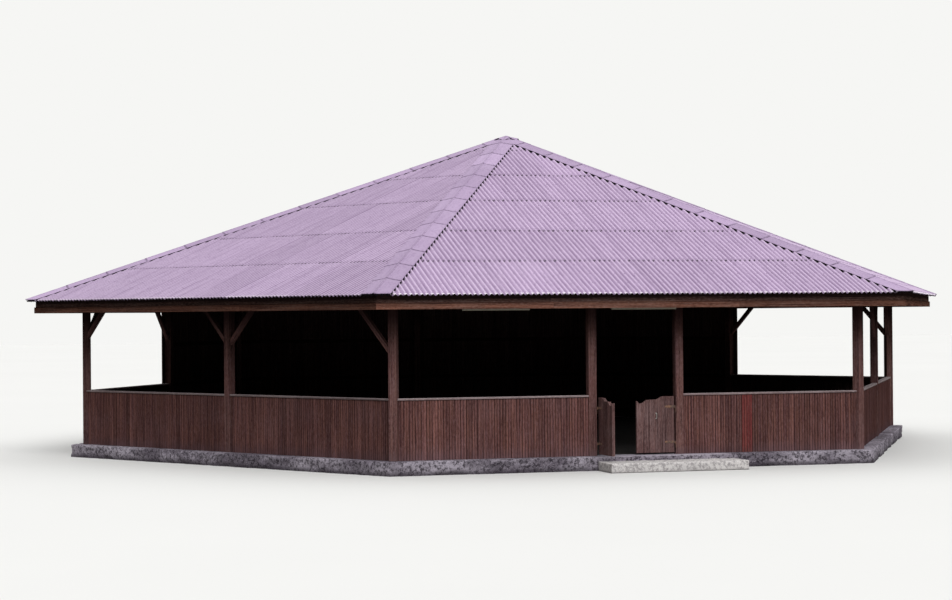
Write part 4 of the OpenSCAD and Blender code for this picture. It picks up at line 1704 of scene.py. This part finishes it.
@dataclass
class StripLights:
    """Two strip lights under the front eave, each a tray, a cover and two end caps."""

    width: float = 1.21
    cap_l: float = 0.022
    tray_share: float = 0.5
    fold: float = 0.012
    tray_foot_in: float = 0.002
    tray_top_in: float = 0.008
    cap_side_in: float = 0.004
    cap_foot_in: float = 0.014
    bowl_in: float = 0.005
    bowl_up: float = 0.001
    bowl_curve: float = 0.7
    bevel: float = 0.001
    cap_bevel: float = 0.002

    def build(self, housing: Material, cover: Material) -> None:
        """Makes both lights.

        Args:
            housing: Finish of the trays and caps.
            cover: Finish of the covers.
        """
        low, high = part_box("strip_lights")
        depth, height, fold = high.y - low.y, high.z - low.z, self.fold
        piece = Piece("strip_light_fittings", 95)
        inner_l = self.width - 2 * self.cap_l
        tray_z = height * (1 - self.tray_share)
        bowl = []
        for turn in np.linspace(0, math.pi, 9):
            across = depth / 2 - (depth / 2 - self.bowl_in) * math.cos(turn)
            bowl.append((across, tray_z - (tray_z - self.bowl_up) * math.sin(turn) ** self.bowl_curve))
        foot, top = self.tray_foot_in, self.tray_top_in
        tray = [(foot, tray_z), (depth - foot, tray_z), (depth, tray_z + fold),
                (depth - top, height), (top, height), (0, tray_z + fold)]
        near, far = self.cap_side_in, self.cap_foot_in
        ends = [(near, fold), (far, 0), (depth - far, 0), (depth - near, fold),
                (depth, height), (0, height)]
        for x in (low.x, high.x - self.width):
            start = (x + self.cap_l, low.y, low.z)
            piece.add(plank(tray, inner_l, self.bevel, start, INWARD, UP, ALONG), 0)
            piece.add(plank(bowl, inner_l, self.bevel, start, INWARD, UP, ALONG).finished(1), 0)
            for end in (x, x + self.width - self.cap_l):
                at = (end, low.y, low.z)
                piece.add(plank(ends, self.cap_l, self.cap_bevel, at, INWARD, UP, ALONG), 0)
        piece.make("lamp", ["strip_lights"], [housing, cover])


@dataclass
class Gates:
    """Two low gates with scalloped tops, their ledges and rims, hinges, pintles and a handle."""

    plan: Plan
    leaf_w: float = 0.725
    low: float = 0.030
    top: float = 1.045
    leaf_t: float = 0.025
    board_w: float = 0.114
    board_joint: float = 0.0008
    uneven: float = 0.0008
    board_bevel: float = 0.0045
    ledge_t: float = 0.030
    ledge_h: float = 0.090
    ledges: Pair = (0.220, 0.790)
    crown_w: float = 0.210
    curve_w: float = 0.144
    curve_drop: float = 0.055
    shoulder_w: float = 0.178
    shoulder_drop: float = 0.005
    hollow_drop: float = 0.066
    horn_w: float = 0.068
    horn_h: float = 0.050
    horn_tip: float = 0.012
    pin_r: float = 0.007
    pin_gap: float = 0.0003
    eye_wall: float = 0.004
    pin_off: float = 0.017
    pin_edge: float = 0.005
    pin_proud: float = 0.0125
    strap_l: float = 0.190
    strap_h: float = 0.040
    strap_t: float = 0.005
    strap_bevel: float = 0.0008
    hinges: Pair = (0.220, 0.860)
    plate_h: float = 0.090
    recess: float = 0.030
    rim_w: float = 0.055
    rim_in: float = 0.001
    ledge_bevel: float = 0.005
    rim_bevel: float = 0.004
    bolts: tuple[float, ...] = (0.035, 0.100, 0.160)
    bolt_r: float = 0.009
    bolt_h: float = 0.005
    screws: Pair = (0.020, 0.062)
    screw_r: float = 0.006
    screw_h: float = 0.003
    screw_in: float = 0.035
    plate_bevel: float = 0.001
    handle_at: Pair = (0.350, 0.694)
    handle_h: float = 0.105
    handle_r: float = 0.006
    handle_out: float = 0.032
    handle_bend: float = 0.014
    handle_neck: float = 0.008
    washer_r: float = 0.012
    washer_h: float = 0.003

    @property
    def pin_y(self) -> float:
        """Place of the pins across the front wall."""
        return -(self.plan.a_wall - self.recess + self.pin_proud)

    def post_face(self, side: int) -> float:
        """Place along the wall of the door post's face at the left (1) or right (-1) gate."""
        left, right = self.plan.door_bays
        return left[1] + self.plan.post_w if side > 0 else right[0] - self.plan.post_w

    def crest(self, x: float) -> float:
        """Draws the scalloped top of a leaf.

        Args:
            x: Distance from its hinge edge.

        Returns:
            Height of the top above the floor.
        """
        curve = x - self.crown_w
        shoulder_end = self.crown_w + self.curve_w + self.shoulder_w
        horn_start = self.leaf_w - self.horn_w
        fallen = self.top - self.curve_drop
        if curve < 0:
            return self.top
        if curve < self.curve_w:
            return self.top - self.curve_drop * (1 - math.cos(math.pi * curve / self.curve_w)) / 2
        if x < shoulder_end:
            return fallen - self.shoulder_drop * (curve - self.curve_w) / self.shoulder_w
        level = fallen - self.shoulder_drop
        if x < horn_start:
            share = math.pi / 2 * (x - shoulder_end) / (horn_start - shoulder_end)
            return level - self.hollow_drop * math.sin(share)
        rise = min(x - horn_start, self.horn_w - self.horn_tip) / (self.horn_w - self.horn_tip)
        peak = level - self.hollow_drop + self.horn_h * (1 - math.cos(math.pi / 2 * rise))
        return peak - max(0.0, x - (self.leaf_w - self.horn_tip))

    def hang(self, side: int, opened: float) -> Array:
        """Matrix that puts a leaf, drawn from its hinge edge, in its place.

        Args:
            side: 1 for the left gate and -1 for the right one.
            opened: Opening angle in degrees.

        Returns:
            The 4x4 matrix.
        """
        x = self.post_face(side) + side * self.pin_off
        pin = Matrix.Translation((x, self.pin_y, self.plan.floor_z))
        turn = Matrix.Rotation(math.radians(-side * opened), 4, "Z")
        mirror = Matrix.Diagonal((side, 1, 1, 1))
        return np.array(pin @ turn @ mirror @ Matrix.Translation((self.pin_edge, self.pin_proud, 0)))

    def boards(self, place: Array, piece: Piece) -> None:
        """Cuts the leaf's boards to its outline.

        Args:
            place: Matrix of the leaf.
            piece: Piece that takes them.
        """
        count = round(self.leaf_w / self.board_w)
        width = self.leaf_w / count
        for i in range(count):
            x0, x1 = i * width + self.board_joint, (i + 1) * width - self.board_joint
            ring = [(x0, self.low), (x1, self.low), *((x, self.crest(x)) for x in np.linspace(x1, x0, 9))]
            shift = piece.random.uniform(-self.uneven, self.uneven)
            solid = plank(ring, self.leaf_t, self.board_bevel, (0, self.leaf_t + shift, 0), ALONG, UP, UP)
            kinds = list(solid.finishes)
            kinds[-2] = 1
            piece.add(Solid(solid.points, solid.faces, solid.grain, kinds).moved(place))

    def ledge_rows(self, place: Array, piece: Piece) -> None:
        """Adds the two ledges behind the boards, and the rim that thickens their top and free edge.

        Args:
            place: Matrix of the leaf.
            piece: Piece that takes them.
        """
        x0, x1, end = self.ledge_t, self.leaf_w - self.rim_w, self.leaf_w - self.rim_in
        back = (0, self.leaf_t + self.ledge_t, 0)
        for middle in self.ledges:
            z0, z1 = middle - self.ledge_h / 2, middle + self.ledge_h / 2
            ring = [(x0, z0), (x1, z0), (x1, z1), (x0, z1)]
            piece.add(plank(ring, self.ledge_t, self.ledge_bevel, back, ALONG, UP, ALONG).moved(place))
        top = [(x, self.crest(x) - self.rim_in) for x in np.linspace(x1, x0, 36)]
        under = [(x, z - self.rim_w) for x, z in top[::-1]]
        stile = [(x1, self.low), (end, self.low)]
        stile += [(x, self.crest(x) - self.rim_in) for x in np.linspace(end, x1, 6)]
        for ring, way in ((under + top, ALONG), (stile, UP)):
            solid = plank(ring, self.ledge_t, self.rim_bevel, back, ALONG, UP, way)
            piece.add(solid.finished(1).moved(place), 0)

    def straps(self, place: Array, piece: Piece) -> None:
        """Adds the straps with their eyes and bolts.

        Args:
            place: Matrix of the leaf.
            piece: Piece that takes them.
        """
        inner = self.pin_r + self.pin_gap
        outer = inner + self.eye_wall
        h, tip = self.strap_h / 2, self.strap_l - self.pin_edge
        for z in self.hinges:
            turns = np.linspace(-math.pi / 2, math.pi / 2, 9)
            round_end = [(tip - h + h * math.cos(t), z + h * math.sin(t)) for t in turns]
            ring = [(-self.pin_edge, z - h), *round_end, (-self.pin_edge, z + h)]
            strap = plank(ring, self.strap_t, self.strap_bevel, (0, 0, 0), ALONG, UP, ALONG)
            piece.add(strap.moved(place), 0)
            eye = ring_tube(inner, outer, self.strap_h, (-self.pin_edge, -self.pin_proud, z - h))
            piece.add(eye.moved(place), 0)
            for x in self.bolts:
                head = dome(np.array([x, -self.strap_t, z]), OUTWARD, self.bolt_r, self.bolt_h, 10)
                piece.add(head.moved(place), 0)

    def handle(self, place: Array, piece: Piece) -> None:
        """Adds the bent pull handle with its two washers.

        Args:
            place: Matrix of the leaf.
            piece: Piece that takes it.
        """
        x, z = self.handle_at
        half, bend = self.handle_h / 2 - self.handle_r, self.handle_bend
        path = [(x, 0.0, z - half), (x, -self.handle_neck, z - half)]
        for turn in np.linspace(0, math.pi / 2, 6):
            y = -self.handle_out + bend - bend * math.sin(turn)
            path.append((x, y, z - half + bend - bend * math.cos(turn)))
        path += [(px, py, 2 * z - pz) for px, py, pz in path[::-1]]
        piece.add(tube(path, self.handle_r, 12).moved(place), 0)
        for end in (z - half, z + half):
            washer = dome(np.array([x, 0.0, end]), OUTWARD, self.washer_r, self.washer_h, 12)
            piece.add(washer.moved(place), 0)

    def pintles(self, piece: Piece) -> None:
        """Adds the pins on their lugs and plates.

        Args:
            piece: Piece that takes them.
        """
        lug, off, r, w = 2 * self.eye_wall, self.pin_off, self.pin_r, self.plate_h / 2
        bevel = self.plate_bevel
        pin = tube([(0, 0, z) for z in (-lug, 0, self.strap_h - 0.002, self.strap_h)], r, 14)
        arm = plank([(-off, -r), (0, -r), (0, r), (-off, r)], lug, bevel, (0, 0, -lug), ALONG, INWARD, UP)
        outline = [(0, 0), (w, 0), (w, self.plate_h), (0, self.plate_h)]
        plate = plank(outline, self.strap_t, bevel, (-off, -r, -self.plate_h), INWARD, UP, UP)
        screws = []
        for z in self.screws:
            at = np.array([-off + self.strap_t, -r + self.screw_in, z - self.plate_h])
            screws.append(dome(at, ALONG, self.screw_r, self.screw_h, 8))
        for side in (1, -1):
            x = self.post_face(side) + side * off
            for hinge in self.hinges:
                z = self.plan.floor_z + hinge - self.strap_h / 2 - self.plan.fit_gap
                place = np.array(Matrix.Translation((x, self.pin_y, z)) @ Matrix.Diagonal((side, 1, 1, 1)))
                for solid in (pin, arm, plate, *screws):
                    piece.add(solid.moved(place), 0)

    def build(self, boards: Finishes, ledge: Material, iron: Material, steel: Material) -> None:
        """Makes both gates and what they hang on.

        Args:
            boards: Finishes of the boards' outer and inner sides.
            ledge: Finish of the ledges; the rims take that of the boards.
            iron: Finish of the hinges.
            steel: Finish of the handle.
        """
        for body, side, opened in (("gate_left", 1, 90.0), ("gate_right", -1, 0.0)):
            place = self.hang(side, opened)
            seed = 100 if side > 0 else 110
            leaf = Piece(f"{body}_leaf", seed)
            rows = Piece(f"{body}_ledge_rows", seed + 1)
            hinges = Piece(f"{body}_hinges", seed + 2)
            self.boards(place, leaf)
            self.ledge_rows(place, rows)
            self.straps(place, hinges)
            leaf.make("board_timber", [f"{body}_boards"], boards, body)
            rows.make("frame_timber", [f"{body}_ledges"], [ledge, boards[0]], body)
            hinges.make("iron", [f"{body}_straps"], [iron], body)
            if side < 0:
                pull = Piece("gate_pull_handle", seed + 3)
                self.handle(place, pull)
                pull.make("handle_steel", ["gate_handle"], [steel], body, smooth=True)
        pins = Piece("gate_pintle_pins", 120)
        self.pintles(pins)
        pins.make("iron", ["gate_pintles"], [iron])


@dataclass(frozen=True)
class Studio:
    """Pale floor, plain light and the camera at the photograph's viewing angle."""

    floor_size: float = 400.0
    camera_at: tuple[float, float, float] = (-14.105, -46.260, 2.796)
    heading: float = 73.839
    look_up: float = 0.372
    roll: float = -0.461
    lens: float = 85.98
    sky_low: float = 0.08
    sky_high: float = 1.0
    sky_from: float = 0.15
    sky_to: float = 0.75
    sun: float = 1.7
    sun_turn: float = -3.0
    sun_rise: float = 42.0
    sun_width: float = 36.0
    floor_lit: Tint = (118, 116, 112)
    floor_seen: tuple[Tint, Tint] = ((228, 228, 226), (234, 234, 232))
    backdrop: Tint = (246, 246, 244)

    @staticmethod
    def seen_ray(tree: bpy.types.NodeTree) -> Socket:
        """1 for the rays that see the backdrop: those of the camera, of gloss and through glass.

        Args:
            tree: Node tree that gets the nodes.

        Returns:
            Socket of that value.
        """
        path = tree.nodes.new("ShaderNodeLightPath")
        seen = path.outputs["Is Camera Ray"]
        for name in ("Is Glossy Ray", "Is Transmission Ray"):
            larger = tree.nodes.new("ShaderNodeMath")
            larger.operation = "MAXIMUM"
            tree.links.new(seen, larger.inputs[0])
            tree.links.new(path.outputs[name], larger.inputs[1])
            seen = larger.outputs[0]
        return seen

    def floor(self) -> None:
        """Lays the floor, which is not part of the object: pale to look at, duller as a source of light."""
        half = self.floor_size / 2
        corners = [(-half, -half, 0), (half, -half, 0), (half, half, 0), (-half, half, 0)]
        mesh = bpy.data.meshes.new("studio_floor")
        mesh.from_pydata(corners, [], [(0, 1, 2, 3)])
        g = Graph("studio_floor")
        cloud = g.noise(g.place, (0.08, 0.08, 0.08), 3)
        colour = g.mix(self.seen_ray(g.tree), self.floor_lit, g.mix(cloud, *self.floor_seen))
        mesh.materials.append(g.dress(colour, 0.9, cloud, 0.0001))
        thing = bpy.data.objects.new("studio_floor", mesh)
        bpy.context.scene.collection.objects.link(thing)

    def world(self) -> None:
        """Sets a sky that is brightest overhead, behind a pale backdrop for the camera and for gloss."""
        world = bpy.data.worlds.new("studio")
        bpy.context.scene.world = world
        world.use_nodes = True
        tree = world.node_tree
        lit = tree.nodes["Background"]
        lit.inputs["Color"].default_value = (1, 1, 1, 1)
        way = tree.nodes.new("ShaderNodeTexCoord")
        split = tree.nodes.new("ShaderNodeSeparateXYZ")
        rise = tree.nodes.new("ShaderNodeMapRange")
        rise.interpolation_type = "SMOOTHSTEP"
        limits = (("From Min", self.sky_from), ("From Max", self.sky_to),
                  ("To Min", self.sky_low), ("To Max", self.sky_high))
        for name, number in limits:
            rise.inputs[name].default_value = number
        tree.links.new(way.outputs["Generated"], split.inputs[0])
        tree.links.new(split.outputs["Z"], rise.inputs["Value"])
        tree.links.new(rise.outputs["Result"], lit.inputs["Strength"])
        seen = tree.nodes.new("ShaderNodeBackground")
        seen.inputs["Color"].default_value = linear(self.backdrop)
        choose = tree.nodes.new("ShaderNodeMixShader")
        tree.links.new(self.seen_ray(tree), choose.inputs["Fac"])
        tree.links.new(lit.outputs[0], choose.inputs[1])
        tree.links.new(seen.outputs[0], choose.inputs[2])
        tree.links.new(choose.outputs[0], tree.nodes["World Output"].inputs["Surface"])

    def lamp(self) -> None:
        """Hangs one broad soft lamp in front."""
        light = bpy.data.lights.new("key", "SUN")
        light.energy = self.sun
        light.angle = math.radians(self.sun_width)
        thing = bpy.data.objects.new("key", light)
        rise, turn = math.radians(self.sun_rise), math.radians(self.sun_turn)
        way = Vector((math.sin(turn) * math.cos(rise), -math.cos(turn) * math.cos(rise), math.sin(rise)))
        thing.rotation_mode = "QUATERNION"
        thing.rotation_quaternion = way.to_track_quat("Z", "Y")
        bpy.context.scene.collection.objects.link(thing)

    def camera(self) -> None:
        """Places the camera."""
        data = bpy.data.cameras.new("view")
        data.lens = self.lens
        data.sensor_width = 36.0
        data.clip_end = 1000.0
        heading, up, roll = (math.radians(v) for v in (self.heading, self.look_up, self.roll))
        forward = Vector((math.cos(heading) * math.cos(up), math.sin(heading) * math.cos(up), math.sin(up)))
        right = Vector((math.sin(heading), -math.cos(heading), 0))
        above = right.cross(forward)
        tilted = right * math.cos(roll) + above * math.sin(roll)
        upright = above * math.cos(roll) - right * math.sin(roll)
        thing = bpy.data.objects.new("view", data)
        axes = Matrix((tilted, upright, -forward)).transposed().to_4x4()
        thing.matrix_world = Matrix.Translation(self.camera_at) @ axes
        bpy.context.scene.collection.objects.link(thing)
        bpy.context.scene.camera = thing

    def build(self) -> None:
        """Sets up the whole studio."""
        bpy.context.scene.view_settings.view_transform = "Standard"
        self.floor()
        self.world()
        self.lamp()
        self.camera()


def dress_frame(nodes: dict[str, bpy.types.Object], finishes: dict[str, Material]) -> None:
    """Gives the CAD nodes that stay in view their finishes.

    Args:
        nodes: The frame's objects by name.
        finishes: Finish for each node's name.
    """
    for name, finish in finishes.items():
        mesh = nodes[name].data
        mesh.materials.clear()
        mesh.materials.append(finish)
        LOG.info("%s: dressed in %s", name, finish.name)


def main() -> None:
    """Builds and dresses the bandstand."""
    logging.basicConfig(level=logging.INFO, format="%(name)s %(message)s")
    plan = Plan()
    roof = Roof(plan)
    floor_z = plan.floor_z

    boards = Timber("board_stain", (106, 72, 71), (48, 31, 32), (128, 88, 80), (130, 102, 106),
                    dirt_from=floor_z, dirt_to=floor_z + 0.22, wear=0.4, spread=0.24).build()
    groove = Timber("board_groove", (62, 43, 42), (28, 19, 19), (80, 56, 52), (76, 59, 60),
                    speckle=0.2).build()
    gate_boards = Timber("gate_stain", (104, 78, 77), (52, 36, 37), (124, 93, 90), (142, 120, 120),
                         wear=0.6).build()
    newer = Timber("board_stain_newer", (124, 62, 62), (80, 38, 38), (136, 74, 70), (124, 88, 86),
                   dirt_from=floor_z, dirt_to=floor_z + 0.15, wear=0.2, spread=0.15).build()
    # The boards' inner faces take a darker copy of the stain: painted shade.
    shaded_inside = Timber("board_inside", (74, 55, 54), (36, 27, 28), (92, 70, 66), (98, 84, 84), wear=0.3).build()
    # The posts' heads get painted shade from the eave.
    posts = Timber("post_stain", (113, 79, 78), (50, 34, 35), (135, 99, 92), (143, 116, 118),
                   dirt_from=floor_z, dirt_to=floor_z + 0.18, wear=0.45, relief=0.002,
                   head_shade_from=floor_z + 2.15, head_shade_to=floor_z + 2.60).build()
    rails = Timber("rail_stain", (152, 129, 131), (82, 65, 67), (170, 148, 147), (200, 185, 187),
                   wear=0.7, top_wear=0.9, relief=0.002, gloss=0.3).build()
    fascia_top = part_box("fascia_boards")[1].z
    # The fascia's upper part gets painted shade from the sheets' overhang.
    fascia = Timber("fascia_stain", (116, 76, 64), (46, 31, 29), (138, 94, 78), (148, 122, 114), wear=0.5,
                    head_shade_from=fascia_top - 0.050, head_shade_to=fascia_top + 0.035).build()
    # The eave boards' tops get painted shade under the sheets, with some soot.
    dark_side = Timber("eave_shade", (108, 79, 74), (44, 33, 35), (132, 99, 89), (150, 128, 122), wear=0.5,
                       speckle=0.7, head_shade_from=fascia_top + 0.015, head_shade_to=fascia_top + 0.085).build()
    raw = (46, 33, 27), (22, 15, 13), (64, 47, 38), (60, 50, 46)
    roof_rows = Timber("rafter_timber", *raw, Grain.UP_SLOPE).build()
    side_rows = Timber("beam_timber", *raw, Grain.ALONG_SIDE).build()
    uprights = Timber("king_timber", *raw, Grain.UPRIGHT).build()
    sheets = WaveSheet("sheet_lilac", (196, 174, 204), (212, 191, 219), (140, 117, 149), (108, 92, 114),
                       plan.wave_h, eave_z=plan.eave_z, hood=roof.cap_w).build()
    under = WaveSheet("sheet_underside", (38, 30, 36), (44, 36, 42), (24, 19, 24), (18, 15, 18),
                      plan.wave_h, True).build()
    caps = WaveSheet("cap_lilac", (178, 156, 187), (196, 176, 205), (148, 126, 160), (96, 80, 104),
                     plan.wave_h, True, spread=0.12).build()
    step_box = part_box("entrance_step")
    plinth = Concrete("plinth_concrete", (114, 106, 117), (34, 27, 35), (183, 175, 187), 0.10,
                      trodden=(step_box[0].x, step_box[1].x)).build()
    slab = Concrete("slab_concrete", (219, 215, 214), (158, 152, 154), (237, 233, 231), 0.02,
                    stones=0.25, relief=0.002).build()
    # The inside floor is made dark: painted shade.
    floor = Concrete("floor_concrete", (44, 41, 41), (26, 24, 24), (58, 55, 54), stones=0.2,
                     relief=0.001).build()
    iron = Metal("hinge_iron", (92, 74, 66), (140, 104, 84), 0.46, rough=0.7).build()
    steel = Metal("handle_steel", (170, 168, 164), (120, 112, 104), 0.58, 0.6, 0.4).build()
    housing = Metal("lamp_housing", (128, 120, 106), (84, 74, 60), 0.56, relief=0.0002).build()
    cover = MilkyCover("lamp_cover", (140, 132, 116), (92, 82, 66)).build()

    ground = Substructure(plan)
    ground.plinth(plinth)
    ground.step(slab)
    walls = Walls(plan)
    walls.posts(posts)
    walls.all_boards([boards, shaded_inside, newer, groove])
    walls.rails(rails)
    walls.braces(posts)
    for side in Side:
        roof.face(side, [sheets, under])
    roof.caps([caps, under])
    roof.eaves(fascia, dark_side)
    StripLights().build(housing, cover)
    Gates(plan).build([gate_boards, shaded_inside], side_rows, iron, steel)
    dress_frame(frame["nodes"], {
        "floor_slab": floor, "parapet_girts": side_rows, "back_wall_girts": side_rows,
        "ring_beams": side_rows, "hip_rafters": roof_rows, "jack_rafters": roof_rows,
        "king_block": uprights, "roof_battens": side_rows})
    Studio().build()


if __name__ == "__main__":
    main()
